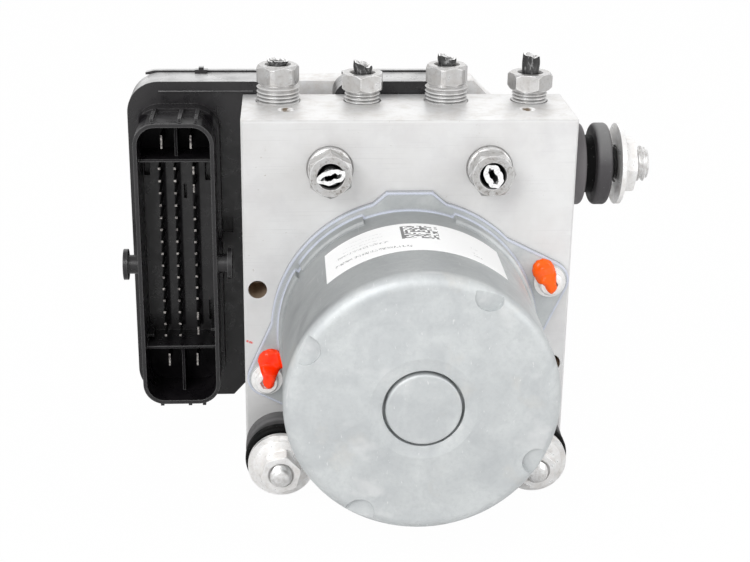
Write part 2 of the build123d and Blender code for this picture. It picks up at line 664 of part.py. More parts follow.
def lacquer_blob(side, offset, size, lobe_offset, lobe_size):
    """Sealing lacquer that bridges the flange and the screw head."""
    x, z = motor_screw_place(side)
    seat = FRONT - FLANGE_THICKNESS
    head_front = seat - SCREW_FLANGE_HEIGHT - SCREW_HEAD_HEIGHT
    body = Pos(x + offset[0], seat, z + offset[1]) * scale(Sphere(1), by=size)
    lobe = Pos(x + lobe_offset[0], head_front, z + lobe_offset[1]) * scale(Sphere(1), by=lobe_size)
    neck = Pos(x + lobe_offset[0] / 2, head_front + 0.8, z + offset[1] * 0.62)
    blob = body + lobe + neck * scale(Sphere(1), by=(lobe_size[0] + 0.5, 2.2, 3.4))
    behind = block_between((x - 20, x + 20), (seat, seat + 20), (z - 20, z + 20))
    wall = along_y(CAN_SHOULDER_RADIUS + FIT_GAP, CAN_FRONT, FRONT, 0, MOTOR_HEIGHT)
    return blob - behind - wall - motor_screw(side)


def motor_magnets():
    back = FRONT - 12.5
    ring = turned([(MAGNET_INNER, back), (MAGNET_OUTER, back), (MAGNET_OUTER, back - MAGNET_LENGTH),
                   (MAGNET_INNER, back - MAGNET_LENGTH)])
    reach = 2 * MAGNET_OUTER
    half = MAGNET_ANGLE / 2
    arcs = []
    for middle in (0, 180):
        corners = [(0, 0), polar(reach, middle - half), polar(reach, middle), polar(reach, middle + half)]
        sector = Pos(0, MOTOR_HEIGHT) * Polygon(*corners, align=None)
        arcs.append(ring & front_view(sector, back, back - MAGNET_LENGTH))
    return Compound(children=arcs)


def ball_bearing(outer, start):
    """A plain bearing ring on the motor axis from y = start."""
    end = start + BEARING_WIDTH
    inner = SHAFT_RADIUS + RUNNING_GAP
    middle = (outer + inner) / 2
    return turned([(inner, start), (middle - 0.8, start), (middle - 0.5, start + 0.5), (middle + 0.5, start + 0.5),
                   (middle + 0.8, start), (outer, start), (outer, end), (inner, end)])


def armature_shaft():
    tail = CAN_FRONT + CAN_WALL + 0.5
    eccentric_back = PUMP_Y + ECCENTRIC_WIDTH / 2
    eccentric_front = PUMP_Y - ECCENTRIC_WIDTH / 2
    shaft = along_y(SHAFT_RADIUS, tail, eccentric_front, 0, MOTOR_HEIGHT)
    eccentric_z = MOTOR_HEIGHT + ECCENTRICITY
    return shaft + along_y(ECCENTRIC_RADIUS, eccentric_front, eccentric_back, 0, eccentric_z)


def eccentric_ring():
    front = PUMP_Y - ECCENTRIC_WIDTH / 2
    back = PUMP_Y + ECCENTRIC_WIDTH / 2
    height = MOTOR_HEIGHT + ECCENTRICITY
    ring = along_y(ECCENTRIC_RING_RADIUS, front, back, 0, height)
    return ring - along_y(ECCENTRIC_RADIUS, front, back, 0, height)


def core_span():
    """Front and back of the laminated core."""
    back = FRONT - 15.0
    return back - CORE_LENGTH, back


def armature_core():
    front, back = core_span()
    outline = Circle(CORE_RADIUS) - Circle(SHAFT_RADIUS)
    middle = CORE_RADIUS - SLOT_DEPTH / 2
    for slot in range(CORE_SLOTS):
        turn = Rot(0, 0, slot * 360 / CORE_SLOTS)
        outline -= turn * Pos(middle - 0.8, 0) * RectangleRounded(SLOT_DEPTH, SLOT_WIDTH, SLOT_WIDTH / 2.1)
        outline -= turn * Pos(CORE_RADIUS, 0) * Rectangle(3, SLOT_WIDTH / 2)
    return front_view(Pos(0, MOTOR_HEIGHT) * outline, back, front)


def armature_windings():
    """Copper heads at both ends of the core."""
    front, back = core_span()
    outer = CORE_RADIUS - 3
    inner = SHAFT_RADIUS + 2
    heads = []
    for near, far in ((front, front - WINDING_LENGTH), (back, back + WINDING_LENGTH)):
        lean = 0.7 * far + 0.3 * near
        heads.append(turned([(SHAFT_RADIUS, near), (outer, near), (outer, lean), (outer - 2, far),
                             (inner, far), (SHAFT_RADIUS, lean)]))
    return Compound(children=heads)


def commutator_span():
    back = FRONT - 2.0
    return back - COMMUTATOR_LENGTH, back


def commutator():
    front, back = commutator_span()
    outline = Circle(COMMUTATOR_RADIUS) - Circle(SHAFT_RADIUS)
    for bar in range(CORE_SLOTS):
        outline -= Rot(0, 0, bar * 360 / CORE_SLOTS) * Pos(COMMUTATOR_RADIUS, 0) * Rectangle(1.6, 0.5)
    return front_view(Pos(0, MOTOR_HEIGHT) * outline, back, front)


def brush_pocket(side, clearance=0.0):
    """The space of one brush with its spring, left or right of the commutator."""
    front, back = commutator_span()
    middle = (front + back) / 2
    inner = COMMUTATOR_RADIUS + 1.5
    outer = CAN_INNER - 1.5
    half_width = BRUSH_WIDTH / 2 + clearance
    half_height = BRUSH_HEIGHT / 2 + clearance
    x_range = sorted((side * inner, side * outer))
    z_range = (MOTOR_HEIGHT - half_width, MOTOR_HEIGHT + half_width)
    return block_between(x_range, (middle - half_height, middle + half_height), z_range)


def brush_plate():
    """Plastic plate at the can's open end with a guide for each brush."""
    front, back = commutator_span()
    plate_back = back + 1.0
    ring = Circle(CAN_INNER - FIT_GAP) - Circle(COMMUTATOR_RADIUS + 2)
    plate = front_view(Pos(0, MOTOR_HEIGHT) * ring, plate_back, plate_back - BRUSH_PLATE_THICKNESS)
    for side in (-1, 1):
        plate += brush_pocket(side, HOLDER_WALL)
    for side in (-1, 1):
        plate -= brush_pocket(side, FIT_GAP)
    half = MOTOR_CONTACT_SPACING / 2
    for side in (-1, 1):
        lead_end = FRONT - BRUSH_LEAD_DEPTH - FIT_GAP
        plate -= along_y(MOTOR_CONTACT_PIN / 2 + FIT_GAP, FRONT, lead_end, side * half, MOTOR_CONTACT_Z)
    return plate


def carbon_brushes():
    brushes = []
    front, back = commutator_span()
    middle = (front + back) / 2
    for side in (-1, 1):
        near = COMMUTATOR_RADIUS + BRUSH_GAP
        x_range = sorted((side * near, side * (near + BRUSH_LENGTH)))
        half = BRUSH_WIDTH / 2
        depth = BRUSH_HEIGHT / 2
        z_range = (MOTOR_HEIGHT - half, MOTOR_HEIGHT + half)
        brushes.append(block_between(x_range, (middle - depth, middle + depth), z_range))
    return Compound(children=brushes)


def brush_springs():
    front, back = commutator_span()
    middle = (front + back) / 2
    start = COMMUTATOR_RADIUS + BRUSH_GAP + BRUSH_LENGTH
    length = CAN_INNER - FIT_GAP - 0.2 - start
    coil = spring(1.4, 0.5, length, 5)
    right = Pos(start, middle, MOTOR_HEIGHT) * Rot(0, 90, 0) * coil
    left = Pos(-start, middle, MOTOR_HEIGHT) * Rot(0, -90, 0) * coil
    return Compound(children=[left, right])


def motor_contact():
    """Insulated pair of pins between the brush plate and the circuit board."""
    return along_y(MOTOR_CONTACT_RADIUS, FRONT + 2, REAR, 0, MOTOR_CONTACT_Z)


def motor_contact_pins():
    start = FRONT - BRUSH_LEAD_DEPTH
    half = MOTOR_CONTACT_SPACING / 2
    radius = MOTOR_CONTACT_PIN / 2
    pins = [along_y(radius, start, BOARD_Y, side * half, MOTOR_CONTACT_Z) for side in (-1, 1)]
    return Compound(children=pins)


def pump_piston(side):
    tail = PISTON_FOOT + PISTON_LENGTH
    rod = along_x(PISTON_RADIUS, side * PISTON_FOOT, side * tail, PUMP_Y, MOTOR_HEIGHT)
    collar = along_x(PISTON_COLLAR_RADIUS, side * (tail - PISTON_COLLAR), side * tail, PUMP_Y, MOTOR_HEIGHT)
    foot = rod.edges().filter_by(GeomType.CIRCLE).sort_by(Axis.X)[0 if side > 0 else -1]
    return chamfer(foot, 0.5) + collar


def pump_sleeves():
    sleeves = []
    for side in (-1, 1):
        end = SLEEVE_START + SLEEVE_LENGTH
        sleeve = along_x(SLEEVE_RADIUS, side * SLEEVE_START, side * end, PUMP_Y, MOTOR_HEIGHT)
        bore = PISTON_RADIUS + RUNNING_GAP
        sleeves.append(sleeve - along_x(bore, side * SLEEVE_START, side * end, PUMP_Y, MOTOR_HEIGHT))
    return Compound(children=sleeves)


def plug_seat():
    """Distance of the floor of the plug's cup from the middle of the block."""
    return SIDE - PLUG_RECESS - PLUG_LENGTH + PLUG_CUP_DEPTH


def pump_spring(side):
    start = PISTON_FOOT + PISTON_LENGTH
    coil = spring(3.5, 0.8, plug_seat() - start, 4)
    return Pos(side * start, PUMP_Y, MOTOR_HEIGHT) * Rot(0, side * 90, 0) * coil


def pump_plugs():
    plugs = []
    for side in (-1, 1):
        end = SIDE - PLUG_RECESS
        start = end - PLUG_LENGTH
        plug = along_x(PLUG_RADIUS, side * start, side * end, PUMP_Y, MOTOR_HEIGHT)
        plug -= along_x(PLUG_CUP_RADIUS, side * start, side * plug_seat(), PUMP_Y, MOTOR_HEIGHT)
        plug -= along_x(PLUG_RADIUS / 2, side * (end - 1.5), side * end, PUMP_Y, MOTOR_HEIGHT)
        plugs.append(plug)
    return Compound(children=plugs)


def accumulator_piston(side):
    top = ACCUMULATOR_DEPTH - FIT_GAP
    x = side * ACCUMULATOR_X
    piston = along_z(ACCUMULATOR_RADIUS, top - ACCUMULATOR_PISTON, top, x, 0)
    groove = along_z(ACCUMULATOR_RADIUS, top - 4, top - 2, x, 0)
    groove -= along_z(ACCUMULATOR_RADIUS - 1.5, top - 4, top - 2, x, 0)
    hollow = along_z(ACCUMULATOR_RADIUS - 2.2, top - ACCUMULATOR_PISTON, top - 2.5, x, 0)
    return piston - groove - hollow


def accumulator_spring(side):
    start = CAP_RECESS + CAP_THICKNESS
    end = ACCUMULATOR_DEPTH - FIT_GAP - 2.5
    return Pos(side * ACCUMULATOR_X, 0, start) * spring(5.2, 1.2, end - start, 5)


def accumulator_caps():
    """Pressed steel caps that close the accumulators, each with a vent."""
    caps = []
    for side in (-1, 1):
        x = side * ACCUMULATOR_X
        cap = along_z(ACCUMULATOR_RADIUS, CAP_RECESS, CAP_RECESS + CAP_RIM, x, 0)
        cap -= along_z(ACCUMULATOR_RADIUS - 1.2, CAP_RECESS + CAP_THICKNESS, CAP_RECESS + CAP_RIM, x, 0)
        caps.append(cap - along_z(CAP_VENT, CAP_RECESS, CAP_RECESS + CAP_THICKNESS, x, 0))
    return Compound(children=caps)


def valve_bodies():
    """Eight valves, each a stepped body in the block and a thin dome for the plunger."""
    valves = []
    base = REAR - VALVE_DEPTH
    tip = REAR + VALVE_DOME_LENGTH
    for x, height in valve_places():
        valve = along_y(VALVE_RADIUS, base + 5, REAR, x, height)
        valve += along_y(VALVE_RADIUS - 1.6, base, base + 5, x, height)
        valve += along_y(VALVE_DOME_RADIUS, REAR, tip, x, height)
        valve -= along_y(VALVE_DOME_RADIUS - VALVE_DOME_WALL, REAR, tip - 1, x, height)
        valves.append(valve)
    return Compound(children=valves)


def valve_plunger(x, z, closed):
    """Magnetic plunger with its sealing stem. An outlet valve rests closed, an inlet valve open."""
    start = REAR + RUNNING_GAP + (0 if closed else PLUNGER_TRAVEL)
    plunger = along_y(VALVE_DOME_RADIUS - VALVE_DOME_WALL - RUNNING_GAP, start, start + PLUNGER_LENGTH, x, z)
    return plunger - along_y(1.2, start + PLUNGER_LENGTH - 5, start + PLUNGER_LENGTH, x, z)


def solenoid_coils():
    coils = []
    start = REAR + HOUSING_FLOOR
    end = start + COIL_LENGTH
    for x, z in valve_places():
        coil = along_y(COIL_RADIUS, start, end, x, z)
        waist = along_y(COIL_RADIUS, start + 1.8, end - 1.8, x, z)
        waist -= along_y(COIL_RADIUS - 0.7, start + 1.8, end - 1.8, x, z)
        coils.append(coil - waist - along_y(VALVE_DOME_RADIUS + FIT_GAP, start, end, x, z))
    return Compound(children=coils)


def housing_outline(grow=0.0):
    """Control unit outline with its two upper lobes, seen from the front."""
    corners = [
        (HOUSING_LEFT - grow, HOUSING_BOTTOM - grow),
        (SHROUD_RIGHT + 3.3 + grow, HOUSING_BOTTOM - grow),
        (LEFT_LOBE_END + grow, VALVE_AREA_BOTTOM - grow),
        (HOUSING_RIGHT + grow, VALVE_AREA_BOTTOM - grow),
        (HOUSING_RIGHT + grow, RIGHT_SHOULDER_HEIGHT + grow),
        (RIGHT_LOBE_END + grow, VALLEY_HEIGHT + grow),
        (RIGHT_LOBE_END + grow, HOUSING_TOP + grow),
        (RIGHT_LOBE_START - grow, HOUSING_TOP + grow),
        (RIGHT_LOBE_START - grow, VALLEY_HEIGHT + grow),
        (LEFT_LOBE_END + grow, VALLEY_HEIGHT + grow),
        (LEFT_LOBE_END + grow, HOUSING_TOP + grow),
        (HOUSING_LEFT - grow, HOUSING_TOP + grow),
    ]
    outline = make_face(Polyline(*corners, close=True))
    large = (corners[0], corners[-1])
    small = (corners[3], corners[6], corners[7], corners[10])
    for x, z in large:
        outline = round_corner(outline, x, z, CORNER_LARGE + grow)
    for x, z in small:
        outline = round_corner(outline, x, z, CORNER_SMALL + grow)
    return outline


def shroud_outline(grow=0.0):
    width = SHROUD_RIGHT - SHROUD_LEFT + 2 * grow
    height = SHROUD_TOP - SHROUD_BOTTOM + 2 * grow
    centre = Pos((SHROUD_LEFT + SHROUD_RIGHT) / 2, (SHROUD_TOP + SHROUD_BOTTOM) / 2)
    return centre * RectangleRounded(width, height, SHROUD_CORNER + grow)


def shroud_ribs():
    """Short stiffening ribs above and below the shroud."""
    ribs = []
    half = SHROUD_RIB_WIDTH / 2
    y_range = (SHROUD_RIM_Y + 1.5, COLLAR_FRONT)
    above = (SHROUD_TOP - 1, SHROUD_TOP + SHROUD_RIB_HEIGHT)
    below = (SHROUD_BOTTOM - SHROUD_RIB_HEIGHT, SHROUD_BOTTOM + 1)
    for offsets, z_range in ((TOP_RIBS, above), (BOTTOM_RIBS, below)):
        for offset in offsets:
            x = CONNECTOR_X + offset
            ribs.append(block_between((x - half, x + half), y_range, z_range))
    return ribs


def lever_peg(side):
    """Mushroom peg on a side of the shroud for the plug's locking lever."""
    wall = SHROUD_RIGHT if side > 0 else SHROUD_LEFT
    end = wall + side * PEG_REACH
    z = PIN_CENTRE_Z - PEG_DROP
    stem = along_x(PEG_STEM_RADIUS, wall - side * SHROUD_WALL / 2, end, PEG_Y, z)
    return stem + along_x(PEG_HEAD_RADIUS, end - side * PEG_HEAD, end, PEG_Y, z)


def pin_boxes():
    """All connector pins as (x, z, width, height)."""
    pins = []
    for offset in PIN_ROWS:
        for index in range(PIN_ROW_LENGTH):
            z = PIN_CENTRE_Z + (index - (PIN_ROW_LENGTH - 1) / 2) * PIN_PITCH
            pins.append((CONNECTOR_X + offset, z, PIN_SIZE, PIN_SIZE))
    for index in range(THIRD_ROW_PINS):
        z = PIN_CENTRE_Z + (index - (THIRD_ROW_PINS - 1) / 2) * THIRD_ROW_PITCH
        pins.append((THIRD_ROW_X, z, PIN_SIZE, PIN_SIZE))
    return pins


def blade_boxes():
    """All connector blades as (x, z, width, height)."""
    blades = [(THIRD_ROW_X, PIN_CENTRE_Z + rise, BLADE_THICKNESS, THIRD_ROW_BLADE) for rise in THIRD_ROW_BLADES]
    for offset in POWER_BLADES:
        for z in (UPPER_CROSS_WALL_Z + POWER_BLADE_RISE, LOWER_CROSS_WALL_Z - POWER_BLADE_RISE):
            blades.append((CONNECTOR_X + offset, z, BLADE_THICKNESS, POWER_BLADE))
    return blades


def pin_solids(boxes):
    """Straight pins from the circuit board to their tips in the shroud."""
    solids = []
    for x, z, width, height in boxes:
        x_range = (x - width / 2, x + width / 2)
        z_range = (z - height / 2, z + height / 2)
        solids.append(block_between(x_range, (PIN_TIP_Y, BOARD_Y), z_range))
    return solids


def ledge_lip(left, right):
    """Low lip along the rear edge of a lobe's top, tapered at both ends."""
    top = HOUSING_TOP
    outline = Polygon((left, top), (left + LIP_TAPER, top + LIP_HEIGHT), (right - LIP_TAPER, top + LIP_HEIGHT),
                      (right, top), (right, top - LIP_HEIGHT), (left, top - LIP_HEIGHT), align=None)
    return front_view(outline, HOUSING_BACK, HOUSING_BACK - LIP_WIDTH)


def ecu_housing():
    housing = front_view(housing_outline(), HOUSING_BACK, REAR)
    housing += ledge_lip(HOUSING_LEFT + CORNER_LARGE / 2, LEFT_LOBE_END - CORNER_SMALL / 2)
    housing += ledge_lip(RIGHT_LOBE_START + CORNER_SMALL / 2, RIGHT_LOBE_END - CORNER_SMALL / 2)
    housing -= front_view(housing_outline(-HOUSING_WALL), HOUSING_BACK, REAR + HOUSING_FLOOR)
    housing += front_view(shroud_outline(COLLAR_GROWTH), REAR, COLLAR_FRONT)
    housing += front_view(shroud_outline(), COLLAR_FRONT, SHROUD_RIM_Y)
    for rib in shroud_ribs():
        housing += rib
    rib_back = (HOUSING_BACK - LIP_WIDTH, HOUSING_BACK)
    for width, height in ((LEDGE_RIB_WIDTH, LEDGE_RIB_HEIGHT), (LEDGE_RIB_BASE, 2 * LIP_HEIGHT)):
        rib = CONNECTOR_X + LEDGE_RIB_OFFSET
        rib_x = (rib - width / 2, rib + width / 2)
        housing += block_between(rib_x, rib_back, (HOUSING_TOP - 1, HOUSING_TOP + height))
    ridge_z = HOUSING_TOP - RIDGE_DROP
    ridge_x = (HOUSING_LEFT + CORNER_LARGE, LEFT_LOBE_END - CORNER_SMALL)
    housing += block_between(ridge_x, (REAR - RIDGE_HEIGHT, REAR + 1), (ridge_z - RIDGE_WIDTH, ridge_z))
    recess_x = [CONNECTOR_X + offset for offset in SIDE_RECESS_X]
    recess_z = [PIN_CENTRE_Z + rise for rise in SIDE_RECESS_Z]
    housing -= block_between(recess_x, (REAR, REAR + SIDE_RECESS_DEPTH), recess_z)
    return cut_connector(housing)


def cut_connector(housing):
    """The housing with the connector bays, the valve openings and the pin holes cut."""
    housing -= front_view(shroud_outline(-SHROUD_WALL), SHROUD_FLOOR_Y, SHROUD_RIM_Y)
    inner_left = SHROUD_LEFT + SHROUD_WALL / 2
    inner_right = SHROUD_RIGHT - SHROUD_WALL / 2
    half = CROSS_WALL / 2
    for z in (UPPER_CROSS_WALL_Z, LOWER_CROSS_WALL_Z):
        housing += block_between((inner_left, inner_right), (CROSS_WALL_Y, SHROUD_FLOOR_Y), (z - half, z + half))
    for low, high in ((UPPER_CROSS_WALL_Z, SHROUD_TOP - 1), (SHROUD_BOTTOM + 1, LOWER_CROSS_WALL_Z)):
        middle = CONNECTOR_X + DIVIDER_OFFSET
        housing += block_between((middle - half, middle + half), (DIVIDER_Y, SHROUD_FLOOR_Y), (low, high))
    recess_y = (SHROUD_FLOOR_Y, SHROUD_FLOOR_Y + FLOOR_RECESS_DEPTH)
    recesses = [(UPPER_CROSS_WALL_Z, recess) for recess in UPPER_RECESSES] + [(LOWER_CROSS_WALL_Z, LOWER_RECESS)]
    for wall_z, (offsets, rises) in recesses:
        x_range = [CONNECTOR_X + offset for offset in offsets]
        housing -= block_between(x_range, recess_y, [wall_z + rise for rise in rises])
    for wall, inward, rise in ((inner_left, 1, LEFT_STEP_RISE), (inner_right, -1, RIGHT_STEP_RISE)):
        x_range = sorted((wall, wall + inward * STEP_LENGTH))
        low = LOWER_CROSS_WALL_Z + rise
        housing += block_between(x_range, (STEP_FRONT, SHROUD_FLOOR_Y), (low, low + STEP_THICKNESS))
    for side in (-1, 1):
        housing += lever_peg(side)
    for x, z, width, height in pin_boxes() + blade_boxes():
        x_range = (x - width / 2, x + width / 2)
        housing -= block_between(x_range, (SHROUD_FLOOR_Y, REAR + HOUSING_FLOOR), (z - height / 2, z + height / 2))
    for x, z in valve_places():
        housing -= along_y(VALVE_DOME_RADIUS + VALVE_COLLAR, REAR, REAR + HOUSING_FLOOR, x, z)
    for x, z in UNIT_SCREW_PLACES:
        housing -= along_y(UNIT_SCREW_RADIUS + EAR_HOLE_GAP, REAR, REAR + HOUSING_FLOOR, x, z)
    housing -= along_y(MOTOR_CONTACT_RADIUS, REAR, REAR + HOUSING_FLOOR, 0, MOTOR_CONTACT_Z)
    return housing - front_view(seal_outline(), REAR + SEAL_DEPTH, REAR)


def seal_outline():
    """Path of the gasket between the block and the housing."""
    left = -SIDE + SEAL_INSET
    right = HOUSING_RIGHT - SEAL_INSET + 1
    top = INLET_VALVE_Z + VALVE_RADIUS + 4
    bottom = VALVE_AREA_BOTTOM + SEAL_WIDTH
    centre = Pos((left + right) / 2, (top + bottom) / 2)
    outer = RectangleRounded(right - left, top - bottom, 5)
    inner = RectangleRounded(right - left - 2 * SEAL_WIDTH, top - bottom - 2 * SEAL_WIDTH, 5 - SEAL_WIDTH)
    return centre * (outer - inner)


def ecu_seal():
    return front_view(seal_outline(), REAR + SEAL_DEPTH, REAR)


def cover_outline(inset=0.0):
    """Cover outline, lower than the housing's lobes and sloped at its right end."""
    left = HOUSING_LEFT + COVER_INSET + inset
    right = HOUSING_RIGHT - COVER_INSET - inset
    low = HOUSING_BOTTOM + COVER_INSET + inset
    corners = [
        (left, low),
        (SHROUD_RIGHT + 3.3, low),
        (LEFT_LOBE_END, VALVE_AREA_BOTTOM + COVER_INSET + inset),
        (right, VALVE_AREA_BOTTOM + COVER_INSET + inset),
        (right, RIGHT_SHOULDER_HEIGHT - inset),
        (COVER_RIGHT_EDGE - inset, COVER_TOP - COVER_SLOPE - inset),
        (COVER_RIGHT_TOP - inset, COVER_TOP - inset),
        (left, COVER_TOP - inset),
    ]
    outline = make_face(Polyline(*corners, close=True))
    for x, z in (corners[0], corners[-1]):
        outline = round_corner(outline, x, z, CORNER_LARGE - inset)
    return round_corner(outline, corners[3][0], corners[3][1], CORNER_SMALL - inset / 2)


def ecu_cover():
    """Cast lid behind the circuit board. It closes the valleys that the housing leaves open."""
    edge = COVER_BACK - COVER_STEP
    cover = front_view(cover_outline(), edge, HOUSING_BACK)
    cover += front_view(cover_outline(COVER_STEP_INSET), COVER_BACK, edge)
    cover = chamfer(cover.faces().sort_by(Axis.Y)[-1].edges(), COVER_STEP * 0.9)
    hollow = cover_outline(COVER_WALL) & housing_outline(-HOUSING_WALL)
    return cover - front_view(hollow, edge - COVER_WALL, HOUSING_BACK)


def circuit_board():
    outline = cover_outline(BOARD_INSET) & housing_outline(-HOUSING_WALL - BOARD_EDGE_GAP)
    return front_view(outline, BOARD_Y + BOARD_THICKNESS, BOARD_Y)


def board_components():
    """Microcontroller, driver chip, relay and capacitors on the board's rear face."""
    face = BOARD_Y + BOARD_THICKNESS
    chips = ((CONTROLLER_CENTRE, CONTROLLER_SIZE, CHIP_HEIGHT), (DRIVER_CENTRE, DRIVER_SIZE, CHIP_HEIGHT),
             (RELAY_CENTRE, RELAY_SIZE, RELAY_HEIGHT))
    parts = [front_view(Pos(*centre) * Rectangle(*size), face + height, face) for centre, size, height in chips]
    for x in CAPACITORS_X:
        parts.append(along_y(CAPACITOR_RADIUS, face, face + CAPACITOR_HEIGHT, x, CAPACITOR_Z))
    return Compound(children=parts)


def unit_screws():
    """Screws that clamp the housing floor to the block."""
    screws = []
    seat = REAR + HOUSING_FLOOR
    for x, z in UNIT_SCREW_PLACES:
        screw = along_y(UNIT_SCREW_RADIUS, REAR - UNIT_SCREW_ENGAGED, seat, x, z)
        head = along_y(UNIT_SCREW_HEAD, seat, seat + UNIT_SCREW_HEAD_HEIGHT, x, z)
        socket = Pos(x, z) * RegularPolygon(1.6, 6)
        head_back = seat + UNIT_SCREW_HEAD_HEIGHT
        screws.append(screw + head - front_view(socket, head_back, head_back - 1.2))
    return Compound(children=screws)


def grommet(mount):
    """Grooved rubber mount along +Z."""
    radius = mount["rubber"]
    neck = radius - MOUNT_GROOVE_DEPTH
    groove_start = MOUNT_INNER_FLANGE
    groove_end = groove_start + MOUNT_GROOVE
    end = groove_end + mount["outer"]
    profile = make_face(Polyline(
        (0, 0), (radius, 0), (radius, groove_start), (neck, groove_start), (neck, groove_end),
        (radius, groove_end), (radius, end), (0, end), close=True))
    for height in (groove_start, groove_end, end):
        profile = round_corner(profile, radius, height, MOUNT_ROUND)
    body = revolve(Plane.XZ * profile, Axis.Z)
    return body - along_z(mount["stud"] + FIT_GAP, 0, end, 0, 0)


def washer_start(mount):
    """Distance from the block to the washer of a mount."""
    return MOUNT_INNER_FLANGE + MOUNT_GROOVE + mount["outer"] + mount["standoff"]


def nut_start(mount):
    """Distance from the block to the flange nut of a mount."""
    return washer_start(mount) + mount["washer_thickness"]


def stud(mount):
    """Threaded stud along +Z that leaves the block at z = 0."""
    end = nut_start(mount) + NUT_FLANGE_HEIGHT + mount["nut_height"] + mount["proud"]
    rod = along_z(mount["stud"], -STUD_ENGAGED, end, 0, 0)
    return chamfer(rod.edges().sort_by(Axis.Z)[-1], STUD_CHAMFER)


def mount_washer(mount):
    start = washer_start(mount)
    end = nut_start(mount)
    disc = along_z(mount["washer"], start, end, 0, 0)
    return disc - along_z(mount["stud"] + WASHER_HOLE_GAP, start, end, 0, 0)


def flange_nut(mount, spin):
    start = nut_start(mount)
    bar = mount["nut_flats"] / sqrt(3)
    rim = start + NUT_RIM
    shoulder = start + NUT_FLANGE_HEIGHT
    nut = along_z(mount["nut_flange"], start, rim, 0, 0)
    nut += Pos(0, 0, (rim + shoulder) / 2) * Cone(mount["nut_flange"], bar, shoulder - rim)
    nut += Pos(0, 0, shoulder) * hexagon(mount["nut_flats"], mount["nut_height"], spin, bar, NUT_CHAMFER)
    end = shoulder + mount["nut_height"]
    bore = mount["stud"] + FIT_GAP
    nut -= along_z(bore, start, end, 0, 0)
    return nut - Pos(0, 0, end - NUT_RIM / 2) * Cone(bore, bore + NUT_RIM, NUT_RIM)


def lower_mount_location(side):
    return Pos(side * LOWER_MOUNT_X, FRONT, LOWER_MOUNT_Z) * Rot(90, 0, 0)


def side_mount_location():
    return Pos(SIDE, 0, SIDE_MOUNT_Z) * Rot(90, 90, 0)


def motor_label():
    """Blank paper label on top of the can."""
    inner = CAN_RADIUS
    back = FRONT - LABEL_START
    front = back - LABEL_LENGTH
    ring = turned([(inner, back), (inner + LABEL_THICKNESS, back), (inner + LABEL_THICKNESS, front), (inner, front)])
    reach = 2 * CAN_RADIUS
    middle = (LABEL_FROM_ANGLE + LABEL_TO_ANGLE) / 2
    corners = [(0, 0), polar(reach, LABEL_FROM_ANGLE), polar(reach, middle), polar(reach, LABEL_TO_ANGLE)]
    return ring & front_view(Pos(0, MOTOR_HEIGHT) * Polygon(*corners, align=None), back, front)


